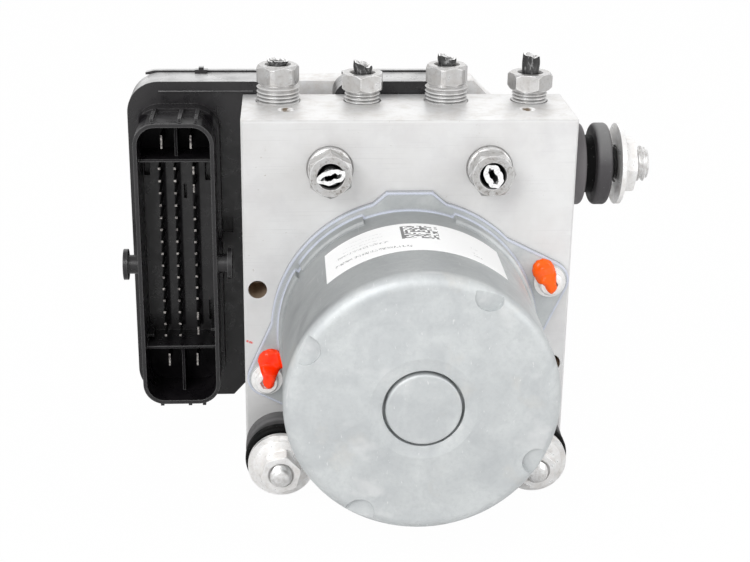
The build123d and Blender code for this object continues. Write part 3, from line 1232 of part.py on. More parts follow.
def build_nodes():
    """Every node of the part by name."""
    nodes = {
        "valve_block": valve_block(),
        "tube_nuts_large_top": tube_nuts_top(LARGE_NUT, (15, 15)),
        "tube_nuts_small_top": tube_nuts_top(SMALL_NUT, (23, 44)),
        "tube_nuts_front": tube_nuts_front(),
        "pipe_stub_top_1": pipe_stub_top(0, 1.9, 6.3, 3.0, -12, 12),
        "pipe_stub_top_2": pipe_stub_top(1, 3.9, 5.9, 3.2, 20, 17),
        "pipe_stub_top_3": pipe_stub_top(2, 3.4, 6.2, 3.0, 14, 20),
        "pipe_stub_top_4": pipe_stub_top(3, 5.9, 5.6, 3.2, 8, 14),
        "pipe_end_front_left": pipe_end_front(-1, 0.8, 6.9, 3.6, 15),
        "pipe_end_front_right": pipe_end_front(1, 0.3, 6.6, 4.2, -62),
        "motor_can": motor_can(),
        "bearing_cup": bearing_cup(),
        "motor_screws": Compound(children=[motor_screw(-1), motor_screw(1)]),
        "sealing_lacquer": Compound(children=[
            lacquer_blob(-1, (1.0, 5.3), (3.9, 2.6, 3.4), (0.0, 0.8), (1.8, 1.1, 3.0)),
            lacquer_blob(1, (-2.2, 3.4), (3.3, 2.6, 3.0), (-0.3, 0.6), (1.9, 1.1, 2.8))]),
        "motor_label": motor_label(),
        "motor_magnets": motor_magnets(),
        "shaft_bearings": Compound(children=[
            ball_bearing(REAR_BEARING_RADIUS, CAN_FRONT + CAN_WALL + 0.3),
            ball_bearing(DRIVE_BEARING_RADIUS, FRONT)]),
        "armature_shaft": armature_shaft(),
        "armature_core": armature_core(),
        "armature_windings": armature_windings(),
        "commutator": commutator(),
        "eccentric_ring": eccentric_ring(),
        "brush_plate": brush_plate(),
        "carbon_brushes": carbon_brushes(),
        "brush_springs": brush_springs(),
        "motor_contact": motor_contact() - motor_contact_pins(),
        "motor_contact_pins": motor_contact_pins(),
        "pump_sleeves": pump_sleeves(),
        "pump_plugs": pump_plugs(),
        "accumulator_caps": accumulator_caps(),
        "valve_bodies": valve_bodies(),
        "solenoid_coils": solenoid_coils(),
        "ecu_housing": ecu_housing(),
        "ecu_cover": ecu_cover(),
        "ecu_seal": ecu_seal(),
        "circuit_board": circuit_board(),
        "board_components": board_components(),
        "ecu_screws": unit_screws(),
        "connector_terminals": Compound(children=pin_solids(pin_boxes() + blade_boxes())),
    }
    for side, name in ((-1, "left"), (1, "right")):
        nodes[f"pump_piston_{name}"] = pump_piston(side)
        nodes[f"pump_spring_{name}"] = pump_spring(side)
        piston = accumulator_piston(side)
        nodes[f"accumulator_piston_{name}"] = piston
        nodes[f"accumulator_spring_{name}"] = accumulator_spring(side)
    for number, x in enumerate(VALVE_X, start=1):
        nodes[f"inlet_plunger_{number}"] = valve_plunger(x, INLET_VALVE_Z, closed=False)
        nodes[f"outlet_plunger_{number}"] = valve_plunger(x, OUTLET_VALVE_Z, closed=True)
    lower = [lower_mount_location(-1), lower_mount_location(1)]
    side = side_mount_location()
    nodes["lower_grommets"] = Compound(children=[place * grommet(LOWER_MOUNT) for place in lower])
    nodes["side_grommet"] = side * grommet(SIDE_MOUNT)
    studs = [place * stud(LOWER_MOUNT) for place in lower]
    nodes["mount_studs"] = Compound(children=studs + [side * stud(SIDE_MOUNT)])
    washers = [place * mount_washer(LOWER_MOUNT) for place in lower]
    nodes["mount_washers"] = Compound(children=washers + [side * mount_washer(SIDE_MOUNT)])
    nuts = [place * flange_nut(LOWER_MOUNT, spin) for place, spin in zip(lower, (14, 22))]
    nodes["flange_nuts"] = Compound(children=nuts + [side * flange_nut(SIDE_MOUNT, 0)])
    return nodes


os.makedirs("parts", exist_ok=True)
for name, shape in build_nodes().items():
    export_step(shape, f"parts/{name}.step")
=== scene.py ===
import json
from math import cos, floor, hypot, pi, radians, sin, sqrt

import bpy
from mathutils import Matrix, Vector, noise


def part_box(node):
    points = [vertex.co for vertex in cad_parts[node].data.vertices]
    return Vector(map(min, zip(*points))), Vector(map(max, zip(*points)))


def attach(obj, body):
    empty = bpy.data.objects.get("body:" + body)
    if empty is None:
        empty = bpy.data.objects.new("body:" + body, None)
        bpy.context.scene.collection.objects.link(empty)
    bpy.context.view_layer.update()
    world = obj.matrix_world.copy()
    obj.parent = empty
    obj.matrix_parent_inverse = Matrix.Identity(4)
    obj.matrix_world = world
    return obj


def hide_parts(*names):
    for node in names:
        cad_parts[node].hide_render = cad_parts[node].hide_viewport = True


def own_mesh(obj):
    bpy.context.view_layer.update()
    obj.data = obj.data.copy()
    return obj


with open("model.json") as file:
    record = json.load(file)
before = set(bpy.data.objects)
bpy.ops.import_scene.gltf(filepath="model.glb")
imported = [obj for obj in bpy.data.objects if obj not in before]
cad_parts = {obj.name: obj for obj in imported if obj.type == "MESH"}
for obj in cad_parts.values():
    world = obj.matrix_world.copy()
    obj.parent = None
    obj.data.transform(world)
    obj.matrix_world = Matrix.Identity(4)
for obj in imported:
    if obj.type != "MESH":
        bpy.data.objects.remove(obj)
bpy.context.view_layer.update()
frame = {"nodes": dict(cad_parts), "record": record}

MM = 0.001

# The photograph's camera, fitted to the object
IMAGE_WIDTH = 750
FOCAL_PIXELS = 1485.37
SENSOR_WIDTH = 36.0
CAMERA_AT = (-33.58 * MM, -400.29 * MM, 203.62 * MM)
CAMERA_AZIMUTH = radians(3.647)
CAMERA_PITCH = radians(20.45)
CAMERA_ROLL = -0.0129943

# Faces of the valve block, in millimetres, from the CAD frame
BLOCK_LOW, BLOCK_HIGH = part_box("valve_block")
FRONT = BLOCK_LOW[1] / MM
SIDE = BLOCK_HIGH[0] / MM
TOP = BLOCK_HIGH[2] / MM
BODY = "body"


EDGE_TURN = 0.72  # cosine between the true and the rounded normal at which an edge counts in full


class Surface:
    """A procedural material on object coordinates, built up socket by socket."""

    def __init__(self, name, metallic=0.0, roughness=0.5, **sockets):
        self.material = bpy.data.materials.new(name)
        self.material.use_nodes = True
        self.tree = self.material.node_tree
        self.shader = self.tree.nodes["Principled BSDF"]
        self.set("Metallic", metallic)
        self.set("Roughness", roughness)
        for socket, value in sockets.items():
            self.set(socket.replace("_", " "), value)
        self.place = self.add("ShaderNodeTexCoord").outputs["Object"]
        self.normal = None

    def add(self, kind, **settings):
        """A new node with some of its settings changed."""
        node = self.tree.nodes.new(kind)
        for key, value in settings.items():
            setattr(node, key, value)
        return node

    def set(self, socket, value):
        """A constant goes on the shader's own socket, a texture is linked to it."""
        target = self.shader.inputs[socket]
        if isinstance(value, bpy.types.NodeSocket):
            self.tree.links.new(value, target)
        else:
            target.default_value = self.fitted(target, value)

    @staticmethod
    def fitted(socket, value):
        """A colour gets its alpha, any other value stays."""
        return (*value, 1) if socket.type == "RGBA" and len(value) == 3 else value

    def feed(self, node, key, value):
        """A constant or a texture goes into a node's input."""
        if isinstance(value, bpy.types.NodeSocket):
            self.tree.links.new(value, node.inputs[key])
        else:
            node.inputs[key].default_value = self.fitted(node.inputs[key], value)

    def stretched(self, scale, turn=(0, 0, 0)):
        """Object coordinates scaled and turned, for directional textures."""
        node = self.add("ShaderNodeMapping")
        node.inputs["Scale"].default_value = scale
        node.inputs["Rotation"].default_value = turn
        self.tree.links.new(self.place, node.inputs["Vector"])
        return node.outputs["Vector"]

    def noise(self, size, detail=4.0, rough=0.55, distortion=0.0, place=None):
        """Cloudy noise whose patches are about this many millimetres across."""
        node = self.add("ShaderNodeTexNoise")
        self.tree.links.new(place or self.place, node.inputs["Vector"])
        self.feed(node, "Scale", 1 / (size * MM))
        self.feed(node, "Detail", detail)
        self.feed(node, "Roughness", rough)
        self.feed(node, "Distortion", distortion)
        return node.outputs["Fac"]

    def cells(self, size, place=None, feature="F1"):
        """Distances in a pattern of cells about this many millimetres across."""
        node = self.add("ShaderNodeTexVoronoi", feature=feature)
        self.tree.links.new(place or self.place, node.inputs["Vector"])
        self.feed(node, "Scale", 1 / (size * MM))
        return node.outputs["Distance"]

    def between(self, value, low, high, to_low=0.0, to_high=1.0):
        """The value taken from one range to another and held inside it."""
        node = self.add("ShaderNodeMapRange", clamp=True)
        ends = {"From Min": low, "From Max": high, "To Min": to_low, "To Max": to_high}
        for key, number in ends.items():
            node.inputs[key].default_value = number
        self.tree.links.new(value, node.inputs["Value"])
        return node.outputs["Result"]

    def math(self, kind, first, second=0.0):
        """One sum on two numbers or masks."""
        node = self.add("ShaderNodeMath", operation=kind)
        for index, value in enumerate((first, second)):
            if isinstance(value, bpy.types.NodeSocket):
                self.tree.links.new(value, node.inputs[index])
            else:
                node.inputs[index].default_value = value
        return node.outputs[0]

    def mix(self, factor, first, second, blend="MIX"):
        """The first colour where the factor is 0, and the second, or their blend, where it is 1."""
        node = self.add("ShaderNodeMix", data_type="RGBA", blend_type=blend)
        self.feed(node, 0, factor)
        self.feed(node, 6, first)
        self.feed(node, 7, second)
        return node.outputs[2]

    def axis(self, index):
        """One coordinate of the point, in metres."""
        node = self.add("ShaderNodeSeparateXYZ")
        self.tree.links.new(self.place, node.inputs[0])
        return node.outputs[index]

    def inside(self, index, low, high, soft=0.05):
        """1 where a coordinate lies between two values in millimetres, 0 outside, with soft edges."""
        return self.band(self.axis(index), low, high, soft)

    def disc(self, first, second, centre, radius, soft=0.1):
        """1 inside a circle in the plane of two coordinates, in millimetres."""
        squares = []
        for index, middle in ((first, centre[0]), (second, centre[1])):
            offset = self.math("SUBTRACT", self.axis(index), middle * MM)
            squares.append(self.math("MULTIPLY", offset, offset))
        distance = self.math("SQRT", self.math("ADD", *squares))
        return self.between(distance, (radius - soft) * MM, (radius + soft) * MM, 1.0, 0.0)

    def both(self, first, *others):
        """The product of several masks or numbers."""
        for other in others:
            first = self.math("MULTIPLY", first, other)
        return first

    def either(self, first, *others):
        """The strongest of several masks."""
        for other in others:
            first = self.math("MAXIMUM", first, other)
        return first

    def slanted(self, first, second, slope):
        """One coordinate plus a share of another, for lines that don't run along an axis."""
        return self.math("ADD", self.axis(first), self.math("MULTIPLY", self.axis(second), slope))

    def band(self, value, low, high, soft=0.1):
        """1 where a value lies between two sizes in millimetres."""
        rise = self.between(value, (low - soft) * MM, (low + soft) * MM)
        fall = self.between(value, (high - soft) * MM, (high + soft) * MM, 1.0, 0.0)
        return self.math("MULTIPLY", rise, fall)

    def soften(self, radius):
        """Edges look rounded by this many millimetres. Comes before any relief."""
        node = self.add("ShaderNodeBevel", samples=4)
        node.inputs["Radius"].default_value = radius * MM
        self.normal = node.outputs["Normal"]
        self.tree.links.new(self.normal, self.shader.inputs["Normal"])

    def facing(self, index, low, high):
        """1 where the surface looks along one axis."""
        geometry = self.add("ShaderNodeNewGeometry")
        split = self.add("ShaderNodeSeparateXYZ")
        self.tree.links.new(geometry.outputs["Normal"], split.inputs[0])
        return self.between(split.outputs[index], low, high)

    def edges(self, radius):
        """1 near an edge of the mesh and 0 on its faces."""
        node = self.add("ShaderNodeBevel", samples=6)
        node.inputs["Radius"].default_value = radius * MM
        geometry = self.add("ShaderNodeNewGeometry")
        dot = self.add("ShaderNodeVectorMath", operation="DOT_PRODUCT")
        self.tree.links.new(node.outputs["Normal"], dot.inputs[0])
        self.tree.links.new(geometry.outputs["Normal"], dot.inputs[1])
        return self.between(dot.outputs["Value"], EDGE_TURN, 1.0, 1.0, 0.0)

    def relief(self, height, depth):
        """Bump whose full height is this many millimetres. Calls stack."""
        node = self.add("ShaderNodeBump")
        node.inputs["Distance"].default_value = depth * MM
        self.tree.links.new(height, node.inputs["Height"])
        if self.normal is not None:
            self.tree.links.new(self.normal, node.inputs["Normal"])
        self.normal = node.outputs["Normal"]
        self.tree.links.new(self.normal, self.shader.inputs["Normal"])


def grey(value, warm=0.0):
    """A grey, warmed by a share of its value."""
    return (value * (1 + warm), value, value * (1 - warm))


# Marks on the valve block, in millimetres
SPARE_HOLES = ((-41.5, 57.6), (41.5, 34.4))
SPARE_HOLE_RADIUS = 3.2
DIMPLES = (-33.3, 33.3)
DIMPLE_Y, DIMPLE_RADIUS = -2.9, 2.6
DARK_MIDDLE_Y, DARK_MIDDLE_RADIUS = -1.5, 1.2
DASH_X = (-44.9, -43.1)
DASH_Z = (24.1, 24.7)
DASH_SLANT = 0.4


def block_metal():
    """Pale anodised aluminium, milled in fine horizontal passes, with faint stains and scratches."""
    s = Surface("block_metal", metallic=0.45, roughness=0.42)
    s.soften(0.25)
    passes = s.noise(1.0, 2, place=s.stretched((0.05, 1.0, 2.2)))
    stains = s.noise(16, 5, 0.6)
    fine = s.noise(0.25, 2)
    colour = s.mix(s.between(stains, 0.35, 0.7), grey(0.84), grey(0.76, 0.01))
    colour = s.mix(s.between(passes, 0.62, 0.75, 0, 0.3), colour, grey(0.64))
    grime = s.between(s.noise(5, 6, 0.7), 0.66, 0.78, 0, 0.55)
    colour = s.mix(grime, colour, (0.46, 0.42, 0.37))

    # The top is worn, with two drilled dimples whose bowls get a painted white highlight and whose middles
    # are darker brown in spots
    on_top = s.inside(2, TOP - 0.15, TOP + 1, 0.1)
    worn = s.between(s.noise(4, 6, 0.72, 0.4), 0.46, 0.66)
    colour = s.mix(s.both(on_top, worn, 0.55), colour, (0.60, 0.57, 0.53))
    below_top = s.inside(2, TOP - 1.2, TOP - 0.06, 0.04)
    bowl_highlights = s.either(*[s.disc(0, 1, (x, DIMPLE_Y), DIMPLE_RADIUS, 0.1) for x in DIMPLES])
    darkening = s.either(*[s.disc(0, 1, (x, DARK_MIDDLE_Y), DARK_MIDDLE_RADIUS, 0.4) for x in DIMPLES])
    spots = s.between(s.noise(1.6, 3), 0.38, 0.52, 0.45, 1.0)
    # Painted highlight: the dimples' bowls are white
    colour = s.mix(s.both(below_top, bowl_highlights), colour, grey(1.0))
    colour = s.mix(s.both(below_top, darkening, spots), colour, (0.16, 0.12, 0.08))
    # Painted shade: the whole top is a little darker
    colour = s.mix(s.both(on_top, 0.18), colour, grey(0.5))

    # The front is smudged and a little darker towards the control unit
    on_front = s.inside(1, FRONT - 1, FRONT + 0.55, 0.1)
    smudges = s.between(s.noise(13, 4, 0.6), 0.50, 0.68, 0, 0.4)
    colour = s.mix(s.both(on_front, smudges), colour, (0.68, 0.67, 0.68))
    shade = s.mix(s.between(s.axis(0), -45 * MM, 45 * MM), grey(0.80), grey(0.90))
    colour = s.mix(on_front, colour, shade, "MULTIPLY")

    # Nicks, a short red pen dash and the brown walls of the spare holes
    nicks = s.between(s.noise(1.1, 4, 0.7), 0.66, 0.70, 0, 0.8)
    nicked = s.between(s.noise(11, 2), 0.5, 0.6)
    colour = s.mix(s.both(nicks, nicked), colour, (0.36, 0.32, 0.28))
    dash = s.both(s.inside(0, *DASH_X, 0.15), s.band(s.slanted(2, 0, DASH_SLANT), *DASH_Z, 0.15),
                  s.between(s.noise(0.5, 2), 0.35, 0.5))
    colour = s.mix(dash, colour, (0.75, 0.06, 0.05))
    inside = s.inside(1, FRONT + 0.25, FRONT + 40, 0.1)
    holes = s.either(*[s.disc(0, 2, place, SPARE_HOLE_RADIUS) for place in SPARE_HOLES])
    colour = s.mix(s.both(inside, holes), colour, (0.44, 0.34, 0.25))
    s.set("Base Color", colour)
    s.set("Roughness", s.between(stains, 0.3, 0.7, 0.36, 0.5))
    s.relief(passes, 0.03)
    s.relief(fine, 0.01)
    return s.material


# The motor can, in millimetres in front of the block
SHADED_FROM, SHADED_TO = 50.2, 2.1
FLANGE_RISE = 2.6
CONTACT_SHADOW_RISE = 0.5


def can_metal():
    """Galvanised drawn steel, mottled and lightly scratched, with painted shade and light on its side, a
    painted highlight on the flange's rim inside a fine dark line, and a painted shadow at the flange's foot.
    """
    s = Surface("can_metal", metallic=0.5, roughness=0.45)
    s.soften(0.3)
    clouds = s.noise(9, 6, 0.62, 0.6)
    speckle = s.noise(1.2, 4, 0.7)
    colour = s.mix(s.between(clouds, 0.3, 0.7), (0.47, 0.49, 0.50), (0.60, 0.62, 0.62))
    colour = s.mix(s.between(speckle, 0.45, 0.75, 0, 0.35), colour, (0.40, 0.42, 0.43))
    warm = s.between(s.noise(14, 4, 0.6), 0.60, 0.72, 0, 0.25)
    colour = s.mix(warm, colour, (0.60, 0.55, 0.48))
    scratch = s.noise(0.6, 2, place=s.stretched((1.0, 0.06, 0.35), (0.3, 0.2, 0.5)))
    colour = s.mix(s.between(scratch, 0.70, 0.76, 0, 0.5), colour, grey(0.8))
    streak = s.noise(1.4, 3, place=s.stretched((0.10, 1.0, 0.16), (0.2, 0.1, 0.4)))
    colour = s.mix(s.between(streak, 0.60, 0.72, 0, 0.4), colour, grey(0.72))

    # Painted shade and light on the can's side: darker on the left and in the middle than on the right, where
    # it is a little brightened
    side = s.inside(1, FRONT - SHADED_FROM, FRONT - SHADED_TO, 1.2)
    shade = s.mix(s.between(s.axis(0), 8 * MM, 30 * MM), grey(0.68), grey(1.05))
    colour = s.mix(side, colour, shade, "MULTIPLY")

    # The flange's rim gets a painted bluish-white highlight, with a fine dark line inside it
    flange = s.inside(1, FRONT - FLANGE_RISE, FRONT + 1, 0.05)
    edge = s.edges(1.5)
    line = s.both(flange, s.between(edge, 0.02, 0.05), s.between(edge, 0.10, 0.16, 1.0, 0.0), 0.75)
    colour = s.mix(line, colour, (0.20, 0.21, 0.25))
    colour = s.mix(s.both(flange, s.between(edge, 0.12, 0.2)), colour, (0.66, 0.69, 0.80))
    # Painted shadow where the flange's foot meets the block
    foot = s.inside(1, FRONT - CONTACT_SHADOW_RISE, FRONT + 1, 0.1)
    colour = s.mix(s.both(foot, 0.8), colour, (0.16, 0.16, 0.19))
    s.set("Base Color", colour)
    s.set("Roughness", s.between(clouds, 0.3, 0.7, 0.50, 0.66))
    s.relief(clouds, 0.12)
    s.relief(speckle, 0.03)
    return s.material


# Brake-pipe nuts, in millimetres: the threads over the block's top, whose grooves get painted shade, as x, y,
# radius and height, and the mouths of the nuts, painted black as shade, as the two coordinates of their plane
# and the centre in it
TOP_NUT_Y = 7.9
FRONT_NUT_Z = 92.2
NUT_THREADS = ((-35.4, TOP_NUT_Y, 6.0, 3.3), (-11.8, TOP_NUT_Y, 5.0, 2.6),
               (11.8, TOP_NUT_Y, 6.0, 3.3), (35.4, TOP_NUT_Y, 5.0, 2.6))
TOP_PORTS = tuple((0, 1, (x, TOP_NUT_Y)) for x in (-35.4, -11.8, 11.8, 35.4))
FRONT_PORTS = tuple((0, 2, (x, FRONT_NUT_Z)) for x in (-21.6, 21.6))
PORT_RADIUS = 3.45


def zinc(name, tone, darkening, rough=0.38, metallic=0.7, ports=(), threads=()):
    """Zinc-plated steel with grime in cloudy patches, painted highlights along its edges, painted shade in
    its thread grooves, and painted shade, black, where a pipe enters.
    """
    s = Surface(name, metallic=metallic, roughness=rough)
    s.soften(0.2)
    patches = s.noise(2.5, 5, 0.65)
    colour = s.mix(s.between(patches, 0.35, 0.65), grey(tone), grey(tone * 0.82, 0.03))
    colour = s.mix(s.between(s.noise(1.3, 5, 0.7), 0.52, 0.7, 0, darkening), colour, (0.14, 0.12, 0.10))
    # Painted highlight along the edges
    colour = s.mix(s.between(s.edges(0.5), 0.10, 0.45, 0, 0.8), colour, grey(0.92))
    # Painted shade in the grooves of the threads above the block
    for x, y, radius, rise in threads:
        groove = s.both(s.disc(0, 1, (x, y), radius - 0.3, 0.12), s.inside(2, TOP - 1, TOP + rise), 0.75)
        colour = s.mix(groove, colour, grey(0.10))
    # Painted shade: black discs at the nuts' mouths, where the bores lie in shadow
    for first, second, centre in ports:
        colour = s.mix(s.disc(first, second, centre, PORT_RADIUS, 0.2), colour, grey(0.012))
    s.set("Base Color", colour)
    s.set("Roughness", s.between(patches, 0.3, 0.7, rough - 0.08, rough + 0.12))
    s.relief(patches, 0.04)
    s.relief(s.noise(0.3, 3), 0.01)
    return s.material


# The control unit's housing and connector, in millimetres
LEDGE_Z, LEDGE_RISE = 104.6, 9
SHROUD_FRONT_Y, SHROUD_FLOOR_Y = -20, 13.0
SHROUD_INSIDE_X = (-74.6, -53.8)
PIN_COLUMNS = (-68.8, -64.5, -59.3)
PIN_ROWS_Z = (36, 88)
UPPER_BAY_Z = (90.1, 100.9)
LOWER_BAY_Z = (18.3, 33.9)


def moulded_plastic(name, tone, rough, dust):
    """Black moulded plastic with fine texture, a little dust, a painted reflection on the top ledge, painted
    highlights on the shroud's rims, and dull black deep in the connector.
    """
    s = Surface(name, roughness=rough)
    s.soften(0.25)
    dusty = s.between(s.noise(6, 6, 0.7), 0.45, 0.75, 0, dust)
    colour = s.mix(dusty, (tone, tone * 0.88, tone * 1.05), (0.13, 0.12, 0.12))
    # Painted reflection: upward faces of the housing's top ledge are light grey
    ledge_reflection = s.both(s.facing(2, 0.5, 0.9), s.inside(2, LEDGE_Z, LEDGE_Z + LEDGE_RISE, 0.3),
                   s.between(s.noise(9, 3), 0.3, 0.7, 0.5, 0.95))
    colour = s.mix(ledge_reflection, colour, grey(0.75))
    # Painted highlights along the edges of the connector shroud's rims
    rim_highlights = s.both(s.inside(1, SHROUD_FRONT_Y, SHROUD_FLOOR_Y - 4),
                  s.between(s.edges(0.5), 0.25, 0.7, 0, 0.7))
    colour = s.mix(rim_highlights, colour, grey(0.14))
    s.set("Base Color", colour)
    deep = s.both(s.inside(1, SHROUD_FLOOR_Y - 16, SHROUD_FLOOR_Y + 1), s.inside(0, *SHROUD_INSIDE_X))
    rows = s.either(*[s.inside(0, x - 1.0, x + 1.0, 0.2) for x in PIN_COLUMNS])
    rows = s.both(rows, s.inside(2, *PIN_ROWS_Z), s.inside(1, SHROUD_FLOOR_Y - 1, SHROUD_FLOOR_Y + 3))
    bays = s.either(s.inside(2, *UPPER_BAY_Z), s.inside(2, *LOWER_BAY_Z), rows)
    s.set("Specular IOR Level", s.between(s.both(deep, bays), 0.0, 1.0, 0.5, 0.06))
    s.set("Roughness", s.between(s.noise(3, 4), 0.3, 0.7, rough - 0.06, rough + 0.14))
    s.relief(s.noise(0.35, 3), 0.012)
    s.relief(s.noise(18, 2), 0.15)
    return s.material


# The groove of each rubber mount, in millimetres off the block, and the top of the lower mounts
GROOVE_START, GROOVE_END = 4.05, 7.0
MOUNT_WIDTH = 12
LOWER_MOUNT_TOP = 25


def rubber(name, tone):
    """Dusty black rubber with a faint bloom, painted reflected light on the side mount's inner flange, a
    painted highlight on the top of its outer flange, and painted shade, black, in the mounts' grooves and
    over the lower mounts' outer flanges.
    """
    s = Surface(name, roughness=0.62)
    s.soften(0.4)
    bloom = s.between(s.noise(3, 6, 0.7), 0.4, 0.75)
    colour = s.mix(bloom, grey(tone), (tone * 1.45, tone * 1.36, tone * 1.42))
    crumbs = s.between(s.noise(0.5, 4), 0.68, 0.72, 0, 0.7)
    # Painted light reflected from the block: the side mount's inner flange is lighter grey
    colour = s.mix(s.inside(0, SIDE - 1, SIDE + GROOVE_START), colour, (0.115, 0.108, 0.112))
    outer = s.inside(0, SIDE + GROOVE_END, SIDE + MOUNT_WIDTH)
    colour = s.mix(outer, colour, (0.044, 0.041, 0.044))
    # Painted highlight on the upward faces of the outer flange
    colour = s.mix(s.both(outer, s.facing(2, 0.2, 1.0)), colour, grey(0.20))
    # Painted shade: black in the side mount's groove and over the lower mounts' groove and outer flange
    side_groove = s.inside(0, SIDE + GROOVE_START, SIDE + GROOVE_END)
    lower_groove = s.both(s.inside(1, FRONT - MOUNT_WIDTH, FRONT - GROOVE_START),
                          s.inside(2, -1, LOWER_MOUNT_TOP))
    black = s.either(side_groove, lower_groove)
    colour = s.mix(black, colour, grey(0.005))
    s.set("Specular IOR Level", s.between(black, 0.0, 1.0, 0.45, 0.08))
    s.set("Base Color", s.mix(crumbs, colour, grey(0.3)))
    s.set("Roughness", s.between(bloom, 0, 1, 0.5, 0.75))
    s.relief(s.noise(0.5, 4), 0.03)
    return s.material


def lacquer():
    """Thick glossy sealing lacquer, red on the left drop and orange on the right one."""
    s = Surface("lacquer", roughness=0.10, Specular_IOR_Level=0.3)
    flow = s.noise(2.5, 2, 0.5)
    colour = s.mix(s.between(flow, 0.35, 0.7), (1.0, 0.032, 0.002), (1.0, 0.055, 0.003))
    s.set("Base Color", s.mix(s.between(s.axis(0), 0, 10 * MM), colour, (1.0, 0.12, 0.002)))
    s.relief(flow, 0.1)
    return s.material


# Rows of the label in millimetres: where they start and end across the slant, then left, right and
# strength. The code patch has left, right, low and high.
LABEL_SLANT = 0.16
LABEL_ROWS = ((-42.9, -41.5, -20.5, -7.4, 0.55), (-47.6, -46.2, -20.9, -1.6, 0.75),
              (-40.3, -39.4, -19.0, -9.0, 0.22), (-37.9, -37.0, -18.5, -8.0, 0.18),
              (-35.4, -34.6, -17.0, -8.5, 0.15), (-38.2, -37.3, 13.9, 15.8, 0.3),
              (-41.8, -41.0, 14.0, 15.3, 0.4), (-43.6, -42.9, 14.2, 16.4, 0.45))
CODE_PATCH = (-3.8, 6.0, -40.6, -30.8)
CODE_CELL = 0.65


def label_paper():
    """White label with broken grey strokes and random cells where a real one has print."""
    s = Surface("label_paper", roughness=0.5)
    fibre = s.noise(0.4, 4)
    colour = s.mix(s.between(fibre, 0.3, 0.7), grey(1.0), grey(0.97))
    across = s.slanted(1, 0, LABEL_SLANT)
    strokes = s.between(s.noise(0.42, 1, place=s.stretched((1.0, 0.5, 0.0))), 0.50, 0.56)
    for low, high, left, right, strength in LABEL_ROWS:
        row = s.both(s.band(across, low, high, 0.12), s.inside(0, left, right, 0.2), strokes, strength)
        colour = s.mix(row, colour, grey(0.06))
    snapped = s.add("ShaderNodeVectorMath", operation="SNAP")
    s.feed(snapped, 0, s.place)
    s.feed(snapped, 1, (CODE_CELL * MM, CODE_CELL * MM, 1.0))
    random = s.add("ShaderNodeTexWhiteNoise", noise_dimensions="2D")
    s.feed(random, "Vector", snapped.outputs[0])
    left, right, low, high = CODE_PATCH
    patch = s.both(s.inside(0, left, right), s.inside(1, low, high))
    cells = s.both(patch, s.between(random.outputs["Value"], 0.5, 0.52))
    solid_side = s.both(patch, s.inside(0, left - 1, left + 0.8))
    colour = s.mix(s.both(s.either(cells, solid_side), 0.85), colour, grey(0.05))
    s.set("Base Color", colour)
    s.relief(fibre, 0.01)
    return s.material


def copper():
    """Enamelled copper wire, wound in fine turns."""
    s = Surface("copper", metallic=1.0, roughness=0.35)
    turns = s.noise(0.8, 2, place=s.stretched((1, 0.2, 1)))
    s.set("Base Color", s.mix(s.between(turns, 0.3, 0.7), (0.72, 0.33, 0.16), (0.55, 0.22, 0.09)))
    s.relief(turns, 0.2)
    return s.material


def tinned():
    """Tinned brass of the connector's pins, with painted shade, near black, on the sides that don't face the
    front.
    """
    s = Surface("tinned", metallic=0.9, roughness=0.45)
    patches = s.noise(0.8, 3)
    colour = s.mix(s.between(patches, 0.4, 0.6), (0.42, 0.40, 0.38), (0.10, 0.09, 0.09))
    # Painted shade: near black on the pins' sides that don't face the front
    flank = s.facing(1, -0.9, -0.6)
    s.set("Base Color", s.mix(flank, colour, grey(0.02)))
    s.relief(patches, 0.01)
    return s.material


def board_green():
    """Green board laminate with darker tracks."""
    s = Surface("board_green", roughness=0.4)
    tracks = s.between(s.cells(2.2, feature="DISTANCE_TO_EDGE"), 0.04, 0.1)
    s.set("Base Color", s.mix(tracks, (0.05, 0.25, 0.09), (0.02, 0.13, 0.05)))
    s.relief(tracks, 0.03)
    return s.material


def pipe_skin():
    """Dark coated steel pipe, rubbed bright in streaks along its length."""
    s = Surface("pipe_skin", metallic=0.3, roughness=0.42)
    worn = s.between(s.noise(0.8, 4, 0.6, place=s.stretched((1.0, 1.0, 0.22))), 0.54, 0.66)
    s.set("Base Color", s.mix(worn, grey(0.03), grey(0.26)))
    s.relief(s.noise(0.6, 4), 0.08)
    return s.material


def cut_metal():
    """Fresh torn steel, nearly white."""
    s = Surface("cut_metal", metallic=0.3, roughness=0.4)
    patches = s.noise(0.7, 4)
    s.set("Base Color", s.mix(s.between(patches, 0.4, 0.75), grey(0.92), grey(0.60, 0.02)))
    s.relief(patches, 0.1)
    return s.material


def stud_metal():
    """Threaded steel, mottled, and dark between the side mount's rubber and washer."""
    s = Surface("stud_metal", metallic=0.7, roughness=0.35)
    patches = s.noise(1.0, 4)
    colour = s.mix(s.between(patches, 0.35, 0.65), grey(0.85), grey(0.62, 0.02))
    inner = s.inside(0, SIDE, SIDE + SIDE_WASHER, 0.1)
    colour = s.mix(s.both(inner, 0.9), colour, grey(0.05))
    s.set("Base Color", colour)
    s.relief(patches, 0.03)
    return s.material


